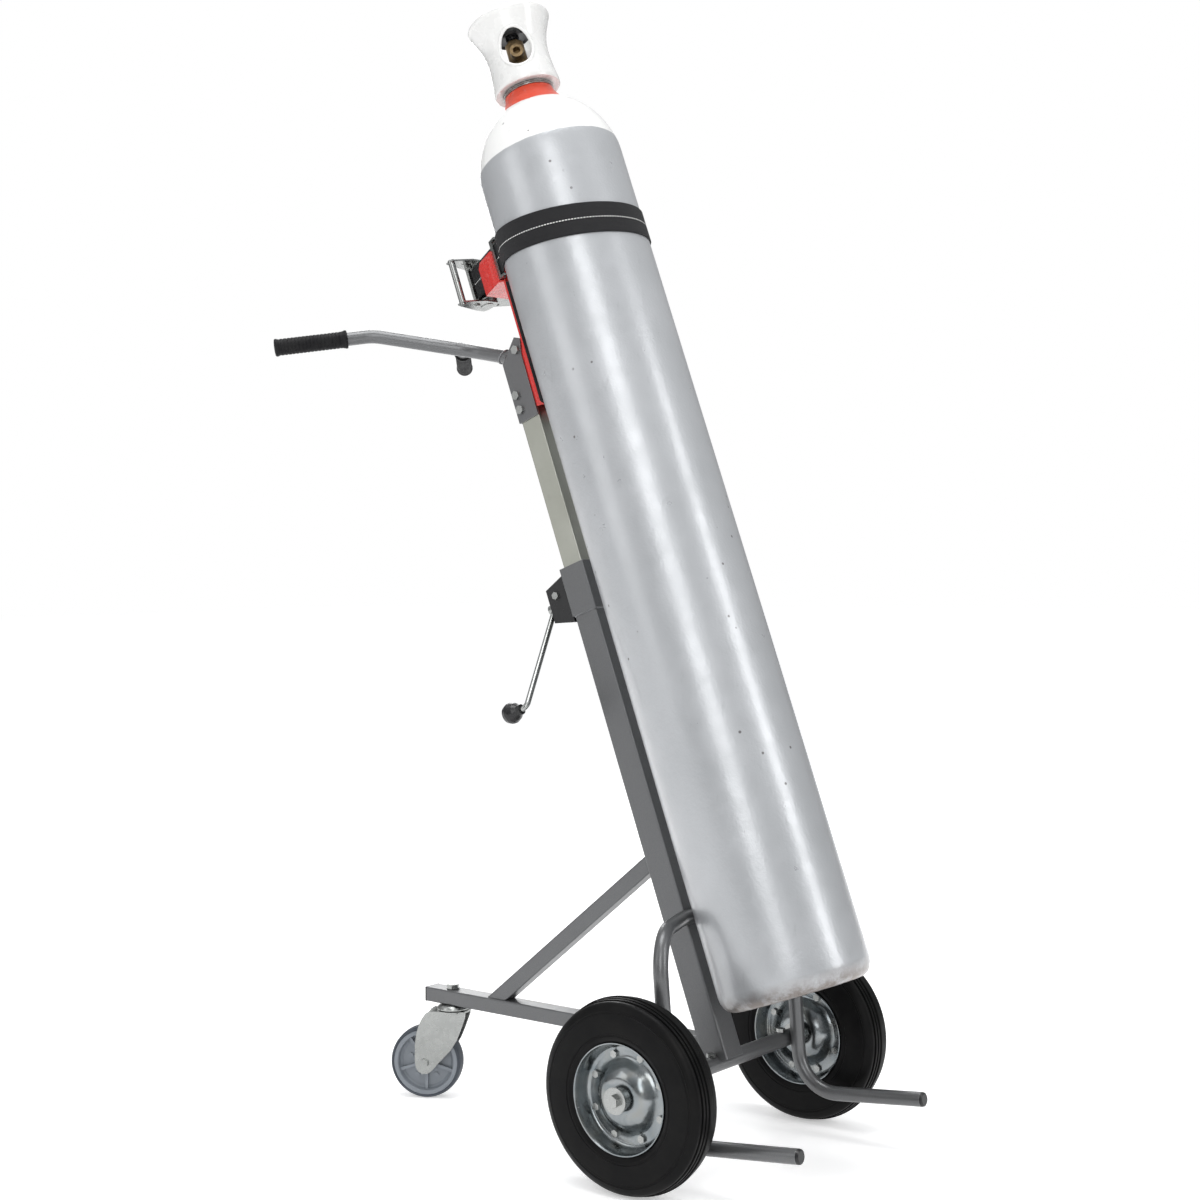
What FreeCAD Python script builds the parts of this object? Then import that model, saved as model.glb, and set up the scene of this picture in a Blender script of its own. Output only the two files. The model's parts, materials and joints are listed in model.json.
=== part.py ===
"""Gas cylinder lifting trolley: two solid-tyred wheels, a swivel caster on a rear arm, and a leaning square mast.
A crank on the mast turns a screw that raises the inner tube with its handlebar, cradle, strap and gas cylinder.

World axes: +Z up, the forks and the cylinder face -Y, the handles and the caster are at +Y, +X is the right side.
The mast has axes of its own: x as in the world, y from the mast's centre line towards the back, z up along it.
"""
import FreeCAD, Part
import math
import os
import re

import Sketcher
from FreeCAD import Placement, Rotation, Vector

doc = FreeCAD.newDocument("CylinderTrolley")
sheet = doc.addObject("Spreadsheet::Sheet", "Sizes")

SIZES = [
    # the frame
    ("mid_y", 234.7, "how far the middle of the whole trolley lies behind the axle"),
    ("axle_height", 140, "axle above the floor, the wheel's radius"),
    ("mast_tilt", 19.5, "degrees that the mast leans back"),
    ("mast_offset", -2.5, "mast centre line at axle height, behind the axle"),
    ("mast_side", 44, "outer mast tube, square"),
    ("mast_wall", 2, "outer mast tube wall"),
    ("mast_foot", 3, "foot of the mast, along it from the axle"),
    ("mast_top", 788, "top of the outer mast tube"),
    ("collar_side", 49.5, "collar sleeve, square"),
    ("collar_foot", 713, "foot of the collar"),
    ("collar_height", 78, "height of the collar"),
    ("lip", 2.8, "thickness of the collar's top lip"),
    ("arm_width", 32.4, "caster arm, across"),
    ("arm_deep", 24, "caster arm, height"),
    ("arm_end", 589.5, "rear end of the caster arm, behind the axle"),
    ("arm_end_top", 181.3, "top of the arm's rear end above the floor"),
    ("arm_rise", 0.64, "degrees that the arm rises to the rear"),
    ("thin_wall", 2, "wall of the arm and the brace"),
    ("brace_side", 25, "rear brace, square"),
    ("brace_arm_y", 441, "where the brace meets the arm, behind the axle"),
    ("brace_mast", 317, "where the brace meets the mast, up along it"),
    # the forks
    ("bar_dia", 22, "round tube of the fork hoop and of the handlebar"),
    ("bar_wall", 2, "its wall"),
    ("hoop_half", 172.4, "fork legs from the middle"),
    ("fork_tip_y", -241, "fork tips"),
    ("fork_tip_z", 82, "fork tips' centre above the floor"),
    ("fork_heel_z", 61, "corner of fork and leg above the floor"),
    ("leg_lean", 3.75, "degrees that the fork legs lean back"),
    ("hoop_top_z", 357, "top of the hoop above the floor"),
    ("hoop_top_y", 39.3, "top of the hoop behind the axle"),
    ("heel_bend", 62, "bend radius of fork and leg"),
    ("top_bend", 60, "bend radius at the top of the leg"),
    ("cap_length", 4, "visible length of a tube cap"),
    # the axle and the wheels
    ("axle_dia", 20, "axle rod"),
    ("axle_tube_dia", 25, "axle tube"),
    ("axle_tube_half", 196, "half the axle tube"),
    ("axle_half", 264, "half the axle rod"),
    ("track_half", 232.5, "wheel middle from the trolley's middle"),
    ("wheel_dia", 280, "over the tyre"),
    ("tyre_width", 58, "tyre across"),
    ("rim_dia", 158, "over the rim flange"),
    ("rim_sheet", 2, "rim sheet, along the axle"),
    ("hub_dia", 32, "hub tube"),
    ("hub_half", 31, "half the hub"),
    ("bearing_dia", 26, "plain bearing, outside"),
    ("bearing_length", 14, "plain bearing along the axle"),
    ("fit_gap", 0.05, "radial clearance of a turning fit"),
    ("washer_dia", 38, "hub washer"),
    ("washer_thick", 3, "hub washer"),
    ("rim_bolt_ring", 122, "circle of the rim bolts"),
    ("rim_bolt_count", 8, "rim bolts in each wheel"),
    # the caster
    ("caster_y", 543.8, "caster swivel axis behind the axle"),
    ("caster_dia", 120, "caster wheel"),
    ("caster_width", 32, "caster wheel across"),
    ("caster_core_dia", 108, "caster wheel centre"),
    ("caster_trail", 45.6, "caster axle behind the swivel axis"),
    ("caster_turn", 28.2, "degrees that the caster stands turned"),
    ("caster_bolt_dia", 12, "caster mounting bolt"),
    # the crank and the screw
    ("crank_up", 742, "crank shaft, up along the mast"),
    ("crank_plane", 73, "plane of the crank arm behind the mast's centre line"),
    ("crank_reach", 204, "crank arm length"),
    ("crank_angle", 221, "crank arm's direction, from the mast's up direction"),
    ("crank_bar_dia", 9, "crank arm bar"),
    ("knob_dia", 33, "crank knob"),
    ("shaft_dia", 10, "crank shaft"),
    ("gear_radius", 13, "outer pitch radius of the mitre gears"),
    ("gear_teeth", 16, "teeth of each mitre gear"),
    ("gear_face", 6, "face width of the mitre gears, along the cone"),
    ("screw_dia", 14, "lift screw"),
    ("screw_foot", 96, "lower end of the lift screw"),
    # the lifting tube
    ("inner_side", 38, "inner mast tube, square"),
    ("inner_wall", 2, "its wall"),
    ("inner_foot", 300, "foot of the inner tube, up along the mast"),
    ("inner_top", 1136, "top of the inner tube"),
    ("slot_width", 14, "slot in the inner tube's back wall"),
    ("slot_foot", 560, "foot of that slot"),
    ("slot_top", 968, "top of that slot"),
    ("nut_height", 30, "lift nut"),
    ("head_side", 43, "head bracket across"),
    ("head_foot", 1038, "foot of the head bracket"),
    ("handle_gap", 11.5, "handle tubes from the middle, at the bracket"),
    ("grip_dia", 27, "handlebar grip"),
    ("grip_length", 118, "handlebar grip"),
    # the cradle and the strap
    ("cylinder_dia", 229, "gas cylinder"),
    ("cylinder_gap", 27, "from the outer mast tube's front to the cylinder"),
    ("pad_thick", 6, "rubber pad on the cradle"),
    ("cradle_thick", 3, "cradle plate"),
    ("cradle_foot", 1048, "foot of the cradle"),
    ("cradle_top", 1250, "top of the cradle"),
    ("cradle_half", 28, "half angle that the cradle covers, degrees"),
    ("strap_width", 50, "strap webbing"),
    ("strap_thick", 2.6, "strap webbing"),
    ("strap_up", 1272, "middle of the strap on the cylinder's axis"),
    ("ratchet_up", 1284, "middle of the ratchet"),
    ("spool_x", -10, "spool from the middle"),
    ("spool_y", 27, "spool behind the mast's centre line"),
    ("ratchet_sheet", 2.5, "ratchet plates"),
    ("ratchet_half", 31, "half the width over the ratchet's base"),
    ("handle_reach", 54, "spool to the handle's cross bar"),
    # the gas cylinder
    ("cylinder_foot", 66, "foot of the gas cylinder, up along the mast"),
    ("cylinder_wall", 5.8, "wall of the gas cylinder"),
    ("shoulder_up", 1402, "where the shoulder starts"),
    ("neck_up", 1528, "top of the neck"),
    ("neck_dia", 78, "neck"),
    ("guard_foot", 1534, "foot of the valve guard"),
    ("guard_top", 1656, "top of the valve guard"),
    ("valve_up", 1592, "valve outlet's axis"),
    ("outlet_dia", 21.8, "valve outlet thread, outside"),
]
for row, (alias, number, meaning) in enumerate(SIZES, 1):
    sheet.set(f"A{row}", meaning)
    sheet.set(f"B{row}", str(number))
    sheet.setAlias(f"B{row}", alias)
doc.recompute()

X, Y, Z = Vector(1, 0, 0), Vector(0, 1, 0), Vector(0, 0, 1)
ALIAS = re.compile(r"\b(" + "|".join(alias for alias, _, _ in SIZES) + r")\b")
nodes = []


def size(alias):
    """A driving dimension's number."""
    return float(sheet.get(alias))


def cells(text):
    """An expression in the sheet's aliases, as FreeCAD wants it written."""
    return ALIAS.sub(r"Sizes.\1", text)


def bind(obj, **expressions):
    for prop, text in expressions.items():
        obj.setExpression(prop, cells(text))
    return obj


# ---------------------------------------------------------------- placements


def place(at=(0, 0, 0), turn=None):
    return Placement(Vector(*at), turn or Rotation())


WORLD = place((0, -size("mid_y"), 0))
MAST = WORLD.multiply(
    place((0, size("mast_offset"), size("axle_height")), Rotation(X, -size("mast_tilt")))
)
ALONG_X = Rotation(Z, X)
ALONG_Y = Rotation(Z, Y)


def node(label, obj, placement=None):
    """Names a finished sub-part and puts it in its place."""
    doc.recompute()
    if placement is not None:
        obj.Placement = placement.multiply(obj.Placement)
    obj.Label = label
    nodes.append(obj)
    return obj


# ---------------------------------------------------------------- primitives and booleans


def cylinder(name, radius, height, at=(0, 0, 0), turn=None):
    obj = bind(doc.addObject("Part::Cylinder", name), Radius=radius, Height=height)
    obj.Placement = place(at, turn)
    return obj


def box(name, length, width, height, at=(0, 0, 0), turn=None):
    obj = bind(doc.addObject("Part::Box", name), Length=length, Width=width, Height=height)
    obj.Placement = place(at, turn)
    return obj


def hexagon(name, across_flats, height, at=(0, 0, 0), turn=None):
    """A six-sided prism: a bolt's head or a nut."""
    obj = doc.addObject("Part::Prism", name)
    obj.Polygon = 6
    bind(obj, Circumradius=f"({across_flats}) / cos(30)", Height=height)
    obj.Placement = place(at, turn)
    return obj


def fuse(name, *shapes):
    obj = doc.addObject("Part::MultiFuse", name)
    obj.Shapes = list(shapes)
    obj.Refine = True
    return obj


def cut(name, base, *tools):
    obj = doc.addObject("Part::Cut", name)
    obj.Base = base
    obj.Tool = tools[0] if len(tools) == 1 else fuse(name + "Tools", *tools)
    return obj


def group(name, *shapes):
    """Separate solids that share one node."""
    obj = doc.addObject("Part::Compound", name)
    obj.Links = list(shapes)
    return obj


def solid(name, shape):
    """A shape made with Part's own functions."""
    obj = doc.addObject("Part::Feature", name)
    obj.Shape = shape
    return obj


def bolt(name, dia, length, flats, head, at=(0, 0, 0), turn=None):
    """A hexagon-head bolt: the shank runs from the origin along -Z, the head stands on it."""
    shank = cylinder(name + "Shank", f"{dia} / 2", length, (0, 0, -float(length)))
    obj = fuse(name, shank, hexagon(name + "Head", f"{flats} / 2", head))
    obj.Placement = place(at, turn)
    return obj


# ---------------------------------------------------------------- sketched bodies


def new_body(name):
    return doc.addObject("PartDesign::Body", name)


def new_sketch(body, name, role="XY_Plane"):
    sketch = body.newObject("Sketcher::SketchObject", name)
    plane = next(f for f in body.Origin.OriginFeatures if f.Role == role)
    sketch.AttachmentSupport = [(plane, "")]
    sketch.MapMode = "FlatFace"
    return sketch


def pin_point(sketch, geometry, axis, text):
    """Holds the start of a line at a distance from the sketch's origin, along one axis."""
    if text == "0":
        sketch.addConstraint(Sketcher.Constraint("PointOnObject", geometry, 1, -2 if axis == "X" else -1))
        return
    index = sketch.addConstraint(Sketcher.Constraint("Distance" + axis, -1, 1, geometry, 1, 10.0 + geometry))
    sketch.setExpression(f"Constraints[{index}]", cells(text))


def outline(sketch, corners):
    """A closed outline of straight lines, its corners held by expressions."""
    count = len(corners)
    around = [
        Vector(10 * math.cos(2 * math.pi * k / count), 10 * math.sin(2 * math.pi * k / count), 0)
        for k in range(count)
    ]
    first = sketch.GeometryCount
    for k in range(count):
        sketch.addGeometry(Part.LineSegment(around[k], around[(k + 1) % count]), False)
    for k in range(count):
        here, after = first + k, first + (k + 1) % count
        sketch.addConstraint(Sketcher.Constraint("Coincident", here, 2, after, 1))
    for k, (across, up) in enumerate(corners):
        pin_point(sketch, first + k, "X", across)
        pin_point(sketch, first + k, "Y", up)


def circle(sketch, radius, across="0", up="0"):
    index = sketch.addGeometry(Part.Circle(Vector(1, 1, 0), Z, 5), False)
    radius_index = sketch.addConstraint(Sketcher.Constraint("Radius", index, 5.0))
    sketch.setExpression(f"Constraints[{radius_index}]", cells(radius))
    for axis, text in (("X", across), ("Y", up)):
        if text == "0":
            line = -2 if axis == "X" else -1
            sketch.addConstraint(Sketcher.Constraint("PointOnObject", index, 3, line))
        else:
            place_index = sketch.addConstraint(
                Sketcher.Constraint("Distance" + axis, -1, 1, index, 3, 5.0)
            )
            sketch.setExpression(f"Constraints[{place_index}]", cells(text))


def rectangle(sketch, across, deep, mid_across="0", mid_deep="0"):
    left, right = f"{mid_across} - ({across}) / 2", f"{mid_across} + ({across}) / 2"
    low, high = f"{mid_deep} - ({deep}) / 2", f"{mid_deep} + ({deep}) / 2"
    outline(sketch, [(left, low), (right, low), (right, high), (left, high)])


def pad(body, sketch, length, midplane=False):
    feature = body.newObject("PartDesign::Pad", body.Name + "Pad")
    feature.Profile = sketch
    feature.Midplane = midplane
    bind(feature, Length=length)
    sketch.Visibility = False
    return feature


def pocket_both_ways(body, sketch):
    """Cuts the sketch's outline right through the body, on both sides of its plane."""
    feature = body.newObject("PartDesign::Pocket", body.Name + "Pocket")
    feature.Profile = sketch
    feature.Type = 1
    feature.Midplane = True
    return feature


def revolution(body, sketch):
    """Turns the sketch about its own vertical axis."""
    feature = body.newObject("PartDesign::Revolution", body.Name + "Revolution")
    feature.Profile = sketch
    feature.ReferenceAxis = (sketch, ["V_Axis"])
    feature.Angle = 360
    return feature


def edges_where(shape, test):
    return [f"Edge{k}" for k, edge in enumerate(shape.Edges, 1) if test(edge)]


def fillet(body, feature, radius, test):
    """Rounds the edges of a feature that pass the test."""
    doc.recompute()
    rounded = body.newObject("PartDesign::Fillet", body.Name + "Fillet")
    rounded.Base = (feature, edges_where(feature.Shape, test))
    bind(rounded, Radius=radius)
    return rounded


def is_upright(edge):
    ends = [v.Point for v in edge.Vertexes]
    return len(ends) == 2 and (ends[1] - ends[0]).getAngle(Z) % math.pi < 1e-6 or (
        len(ends) == 2 and abs((ends[1] - ends[0]).getAngle(Z) - math.pi) < 1e-6
    )


def turned(name, corners):
    """A body turned about Z, its outline given as (radius, height)."""
    body = new_body(name)
    sketch = new_sketch(body, name + "Outline", "XZ_Plane")
    outline(sketch, corners)
    revolution(body, sketch)
    return body


def plate(name, corners, thick, role="XY_Plane"):
    """A flat plate with a straight-sided outline, its thickness centred on the plane."""
    body = new_body(name)
    sketch = new_sketch(body, name + "Outline", role)
    outline(sketch, corners)
    pad(body, sketch, thick, True)
    return body


def box_tube(name, across, deep, wall, length, corner="3"):
    """A square or oblong tube along Z with rounded outer corners."""
    body = new_body(name)
    outside = new_sketch(body, name + "Outside")
    rectangle(outside, across, deep)
    rounded = fillet(body, pad(body, outside, length), corner, is_upright)
    inside = new_sketch(body, name + "Inside")
    rectangle(inside, f"{across} - 2 * {wall}", f"{deep} - 2 * {wall}")
    pocket_both_ways(body, inside)
    return body


# ---------------------------------------------------------------- bent round tubes


def bent_path(points, radii):
    """Straight runs through the points, joined by tangent arcs of the radii."""
    points = [Vector(*p) for p in points]
    edges, start = [], points[0]
    for before, corner, after, radius in zip(points, points[1:], points[2:], radii):
        back = (before - corner).normalize()
        ahead = (after - corner).normalize()
        half = back.getAngle(ahead) / 2
        reach = radius / math.tan(half)
        middle = (back + ahead).normalize() * (radius / math.sin(half) - radius)
        arc_start, arc_end = corner + back * reach, corner + ahead * reach
        edges.append(Part.LineSegment(start, arc_start).toShape())
        edges.append(Part.Arc(arc_start, corner + middle, arc_end).toShape())
        start = arc_end
    edges.append(Part.LineSegment(start, points[-1]).toShape())
    return Part.Wire(edges)


def swept(name, wire, radius):
    """A round bar along a wire."""
    start, ahead = wire.Edges[0].Vertexes[0].Point, wire.Edges[0].tangentAt(wire.Edges[0].FirstParameter)
    ring = Part.Wire([Part.makeCircle(radius, start, ahead)])
    pipe = wire.makePipeShell([ring], True, True)
    return solid(name, pipe)


def bent_tube(name, points, radii, dia, wall):
    wire = bent_path(points, radii)
    return cut(name, swept(name + "Outside", wire, dia / 2), swept(name + "Bore", wire, dia / 2 - wall))


# ================================================================ the axle, the hoop and the mast

tube_radius = "axle_tube_dia / 2"
axle_y = (0, 0, size("axle_height"))


def on_axle(obj):
    """The placement of a piece that was made along Z about the axle's middle."""
    return WORLD.multiply(place(axle_y, ALONG_X))


def make_axle():
    half = size("axle_tube_half")
    tube = cut(
        "AxleTube",
        cylinder("AxleTubeOutside", tube_radius, "2 * axle_tube_half", (0, 0, -half)),
        cylinder("AxleTubeBore", "axle_dia / 2 + 0.1", "2 * axle_tube_half", (0, 0, -half)),
        *(
            cylinder(f"LockHole{k}", "3", "axle_tube_dia", (0, 0, at), Rotation(Z, X * -1))
            for k, at in enumerate(LOCK_BOLTS)
        ),
    )
    node("axle_tube", tube, on_axle(tube))
    rod_half = size("axle_half")
    depth = 26.0
    rod = cut(
        "AxleRod",
        cylinder("AxleRodBar", "axle_dia / 2", "2 * axle_half", (0, 0, -rod_half)),
        cylinder("RodHoleA", "5", str(depth), (0, 0, rod_half - depth)),
        cylinder("RodHoleB", "5", str(depth), (0, 0, -rod_half)),
    )
    node("axle_rod", rod, on_axle(rod))
    rings = []
    for side in (-1, 1):
        outer = size("axle_half") + 0.2
        inner = size("axle_tube_half") + 0.3
        for kind, start, bore in (("Outer", outer, "5.2"), ("Inner", inner, "axle_dia / 2 + 0.1")):
            at = start if side > 0 else -start - size("washer_thick")
            rings.append(
                cut(
                    f"Washer{kind}{side + 1}",
                    cylinder(f"WasherDisc{kind}{side + 1}", "washer_dia / 2", "washer_thick", (0, 0, at)),
                    cylinder(f"WasherBore{kind}{side + 1}", bore, "washer_thick", (0, 0, at)),
                )
            )
    washers = group("AxleWashers", *rings)
    node("axle_washers", washers, on_axle(washers))
    head_at = size("axle_half") + size("washer_thick") + 0.2
    bolts = group(
        "AxleEndBolts",
        bolt("AxleBoltA", "9.9", "26", "17", "7", (0, 0, head_at)),
        bolt("AxleBoltB", "9.9", "26", "17", "7", (0, 0, -head_at), Rotation(X, 180)),
    )
    node("axle_end_bolts", bolts, on_axle(bolts))


LOCK_BOLTS = (-31.5, 160.0)


def make_lock_bolts():
    """Short set screws that hold the axle rod in its tube."""
    screws = []
    for k, at in enumerate(LOCK_BOLTS):
        top = size("axle_tube_dia") / 2
        screws.append(bolt(f"LockBolt{k}", "6", "2.3", "12", "5.5", (at, 0, top)))
    node(
        "axle_lock_bolts",
        group("AxleLockBolts", *screws),
        WORLD.multiply(place(axle_y)),
    )


def leg_y(height):
    """How far behind the axle a fork leg stands at a height: it touches the axle tube."""
    touch = -(size("axle_tube_dia") + size("bar_dia")) / 2 - 0.1
    return touch + (height - size("axle_height")) * math.tan(math.radians(size("leg_lean")))


def hoop_points():
    half, heel, top = size("hoop_half"), size("fork_heel_z"), size("hoop_top_z")
    left = [
        (-half, size("fork_tip_y"), size("fork_tip_z")),
        (-half, leg_y(heel), heel),
        (-half, leg_y(top), top),
        (-size("mast_side"), size("hoop_top_y"), top),
    ]
    return left + [(-x, y, z) for x, y, z in reversed(left)]


def make_hoop():
    heel, top, flat = size("heel_bend"), size("top_bend"), 100.0
    hoop = bent_tube(
        "ForkHoop",
        hoop_points(),
        [heel, top, flat, flat, top, heel],
        size("bar_dia"),
        size("bar_wall"),
    )
    node("fork_hoop", hoop, WORLD)


def plug(name, plug_radius, at, turn):
    """A domed plastic cap with a stem that fits a round tube."""
    cap = turned(
        name,
        [
            ("0", "0"),
            (f"{plug_radius}", "0"),
            (f"{plug_radius} - 0.6", "cap_length * 0.6"),
            (f"{plug_radius} - 3", "cap_length"),
            ("0", "cap_length"),
        ],
    )
    stem = cylinder(name + "Stem", f"{plug_radius} - bar_wall - 0.1", "12", (0, 0, -12))
    obj = fuse(name + "Plug", cap, stem)
    obj.Placement = place(at, turn)
    return obj


def make_caps():
    """The fork tips' caps and the caster arm's end plug."""
    points = [Vector(*p) for p in hoop_points()]
    ends = []
    for k, (tip, heel) in enumerate(((points[0], points[1]), (points[-1], points[-2]))):
        ends.append(plug(f"ForkCap{k}", "bar_dia / 2", tuple(tip), Rotation(Z, tip - heel)))
    plate_cap = box("ArmCapPlate", "arm_width - 0.4", "arm_deep - 0.4", "3", (
        -(size("arm_width") - 0.4) / 2, -(size("arm_deep") - 0.4) / 2, 0))
    inner = "2 * thin_wall - 0.2"
    stem = box("ArmCapStem", f"arm_width - {inner}", f"arm_deep - {inner}", "12", (
        -(size("arm_width") - 4.2) / 2, -(size("arm_deep") - 4.2) / 2, -12))
    arm_cap = fuse("ArmCap", plate_cap, stem)
    arm_cap.Placement = arm_place(1.0)
    ends.append(arm_cap)
    node("tube_caps", group("TubeCaps", *ends), WORLD)


def arm_place(share):
    """A placement on the caster arm's centre line, Z towards its rear end; share 1 is the end."""
    rise = math.radians(size("arm_rise"))
    end_z = size("arm_end_top") - size("arm_deep") / 2
    y = size("arm_end") * share
    z = end_z - (size("arm_end") - y) * math.tan(rise)
    return place((0, y, z), Rotation(X, -90 + size("arm_rise")).multiply(Rotation(Z, 180)))


def mast_block(name, side):
    """The space that the outer mast tube fills, for cutting what is welded to it."""
    half = -size(side) / 2
    block = box(name, side, side, "mast_top", (half, half, 0))
    block.Placement = WORLD.inverse().multiply(MAST).multiply(block.Placement)
    return block


def make_arm():
    arm = box_tube("CasterArmTube", "arm_width", "arm_deep", "thin_wall", "arm_end", "2.5")
    arm.Placement = arm_place(0.0)
    swivel = cylinder("ArmBoltHole", "caster_bolt_dia / 2 + 0.1", "80", (0, size("caster_y"), 120))
    cutter = mast_block("ArmMastCutter", "mast_side")
    front = box("ArmFrontCutter", "100", "60", "300", (-50, -58, 0))
    axle_cut = cylinder(
        "ArmAxleCutter", tube_radius, "200", (-100, 0, size("axle_height")), ALONG_X
    )
    tube = cut("CasterArm", arm, swivel, cutter, front, axle_cut)
    node("caster_arm", tube, WORLD)


def make_mast():
    tube = box_tube("MastTube", "mast_side", "mast_side", "mast_wall", "mast_top - mast_foot", "3")
    tube.Placement = place((0, 0, size("mast_foot")))
    tilt = Rotation(X, size("mast_tilt"))
    axle_at = tilt.multVec(Vector(0, -size("mast_offset"), 0))
    saddle = cylinder("MastSaddle", tube_radius, "100", (-50, axle_at.y, axle_at.z), ALONG_X)
    shaft = cylinder("MastShaftHole", "shaft_dia / 2 + 1", "20", (0, 12, size("crank_up")), ALONG_Y)
    node("mast_outer_tube", cut("MastOuter", tube, saddle, shaft), MAST)
    collar = box_tube("CollarTube", "collar_side", "collar_side", "(collar_side - mast_side) / 2", "collar_height", "2.5")
    half = -size("mast_side") / 2 - 1
    lip_at = size("collar_height") - size("lip")
    lip_plate = box("LipPlate", "mast_side + 2", "mast_side + 2", "lip", (half, half, lip_at))
    lip_half = -size("inner_side") / 2 - 0.3
    lip_hole = box("LipHole", "inner_side + 0.6", "inner_side + 0.6", "lip", (lip_half, lip_half, lip_at))
    lip = cut("CollarLip", lip_plate, lip_hole)
    sleeve = fuse("CollarSleeve", collar, lip)
    up = size("crank_up") - size("collar_foot")
    hole = cylinder("CollarShaftHole", "shaft_dia / 2 + 1", "20", (0, 12, up), ALONG_Y)
    node("mast_collar", cut("Collar", sleeve, hole), MAST.multiply(place((0, 0, size("collar_foot")))))


def make_brace():
    """A square tube from the arm up to the mast's back, cut to both."""
    foot = Vector(0, size("brace_arm_y"), size("arm_end_top") - 4)
    head = WORLD.inverse().multiply(MAST).multVec(Vector(0, size("mast_side") / 2 - 6, size("brace_mast")))
    run = head - foot
    length = run.Length + 80
    raw = box_tube("BraceTube", "brace_side", "brace_side", "thin_wall", str(round(length, 1)), "2.5")
    direction = Vector(run).normalize()
    slope = math.degrees(math.atan2(-run.y, run.z))
    raw.Placement = Placement(foot - direction * 40, Rotation(X, slope))
    arm_half = size("arm_width") / 2 + 6
    below = box("BraceArmCutter", f"arm_width + 12", "400", "200", (-arm_half, 0, 0))
    rise = size("arm_rise")
    top_at_zero = size("arm_end_top") - size("arm_end") * math.tan(math.radians(rise))
    y_from = 300.0
    below.Placement = place(
        (-arm_half, y_from, top_at_zero + y_from * math.tan(math.radians(rise))), Rotation(X, rise)
    ).multiply(place((0, 0, -200)))
    ahead = mast_block("BraceMastCutter", "mast_side")
    front = box("BraceFrontCutter", "100", "400", "500", (-50, -400, 250))
    front.Placement = WORLD.inverse().multiply(MAST).multiply(place((-50, -400, 150)))
    node("rear_brace", cut("RearBrace", raw, below, ahead, front), WORLD)


# ================================================================ the wheels


def make_wheel(side, sign):
    """One wheel, made along Z with its outer face up, then turned onto the axle."""
    where = WORLD.multiply(
        place((sign * size("track_half"), 0, size("axle_height")), Rotation(Z, Vector(sign, 0, 0)))
    )
    tag = side.capitalize()
    tyre = new_body("Tyre" + tag)
    sketch = new_sketch(tyre, "TyreOutline" + tag, "XZ_Plane")
    outer, half = "wheel_dia / 2", "tyre_width / 2"
    upper = [
        ("rim_dia / 2 - 4.1", "14"),
        ("rim_dia / 2 - 2.4", "22"),
        ("rim_dia / 2 + 0.2", "24.7"),
        ("rim_dia / 2 + 5", "27.5"),
        (f"{outer} - 44", half),
        (f"{outer} - 16", f"{half} - 1"),
        (outer, f"{half} - 12"),
    ]
    lower = [(across, f"-({up})") for across, up in reversed(upper)]
    outline(sketch, upper + lower)
    body = revolution(tyre, sketch)
    shoulder = size("wheel_dia") / 2 - 30

    def is_shoulder(edge):
        box_ = edge.BoundBox
        return abs(box_.XMax - box_.XMin) > 2 * shoulder and abs(box_.ZMax - box_.ZMin) < 1e-6

    fillet(tyre, body, "9", is_shoulder)
    node("tyre_" + side, tyre, where)
    sheet_line = [
        ("rim_dia / 2", "25"),
        ("rim_dia / 2 - 2.5", "22"),
        ("rim_dia / 2 - 6", "5"),
        ("rim_dia / 2 - 10", "0"),
        ("rim_bolt_ring / 2 - 7", "0"),
        ("rim_bolt_ring / 2 - 20", "14"),
        ("hub_dia / 2 + 13", "21"),
        ("hub_dia / 2", "21"),
    ]
    halves = []
    for k, flip in enumerate((1, -1)):
        near = [(across, f"{flip} * {up}") for across, up in sheet_line]
        far = [(across, f"{flip} * ({up} + rim_sheet)") for across, up in reversed(sheet_line)]
        disc = turned(f"RimDisc{tag}{k}", near + far)
        holes = [rim_bolt_cutter(f"RimHole{tag}{k}x{n}", n) for n in range(int(size("rim_bolt_count")))]
        halves.append(cut(f"RimHalf{tag}{k}", disc, *holes))
    node("rim_" + side, group("Rim" + tag, *halves), where)
    hub = turned(
        "Hub" + tag,
        [
            ("bearing_dia / 2", "-hub_half"),
            ("hub_dia / 2", "-hub_half"),
            ("hub_dia / 2", "hub_half"),
            ("bearing_dia / 2", "hub_half"),
        ],
    )
    node("hub_" + side, hub, where)
    sleeves = []
    for k, start in enumerate((-size("hub_half"), size("hub_half") - size("bearing_length"))):
        sleeves.append(
            cut(
                f"Bearing{tag}{k}",
                cylinder(f"BearingRing{tag}{k}", "bearing_dia / 2", "bearing_length", (0, 0, start)),
                cylinder(
                    f"BearingBore{tag}{k}", "axle_dia / 2 + fit_gap", "bearing_length", (0, 0, start)
                ),
            )
        )
    node("bearings_" + side, group("Bearings" + tag, *sleeves), where)
    bolts = []
    for n in range(int(size("rim_bolt_count"))):
        x, y = rim_bolt_at(n)
        bolts.append(
            fuse(
                f"RimBolt{tag}{n}",
                cylinder(f"RimBoltShank{tag}{n}", "3", "10", (x, y, -6)),
                hexagon(f"RimBoltHead{tag}{n}", "5", "4", (x, y, 2)),
                hexagon(f"RimNut{tag}{n}", "5", "4", (x, y, -6)),
            )
        )
    node("rim_bolts_" + side, group("RimBolts" + tag, *bolts), where)


def rim_bolt_at(n):
    angle = 2 * math.pi * (n + 0.5) / size("rim_bolt_count")
    ring = size("rim_bolt_ring") / 2
    return ring * math.cos(angle), ring * math.sin(angle)


def rim_bolt_cutter(name, n):
    x, y = rim_bolt_at(n)
    return cylinder(name, "3", "20", (x, y, -10))


# ================================================================ the caster


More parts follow.
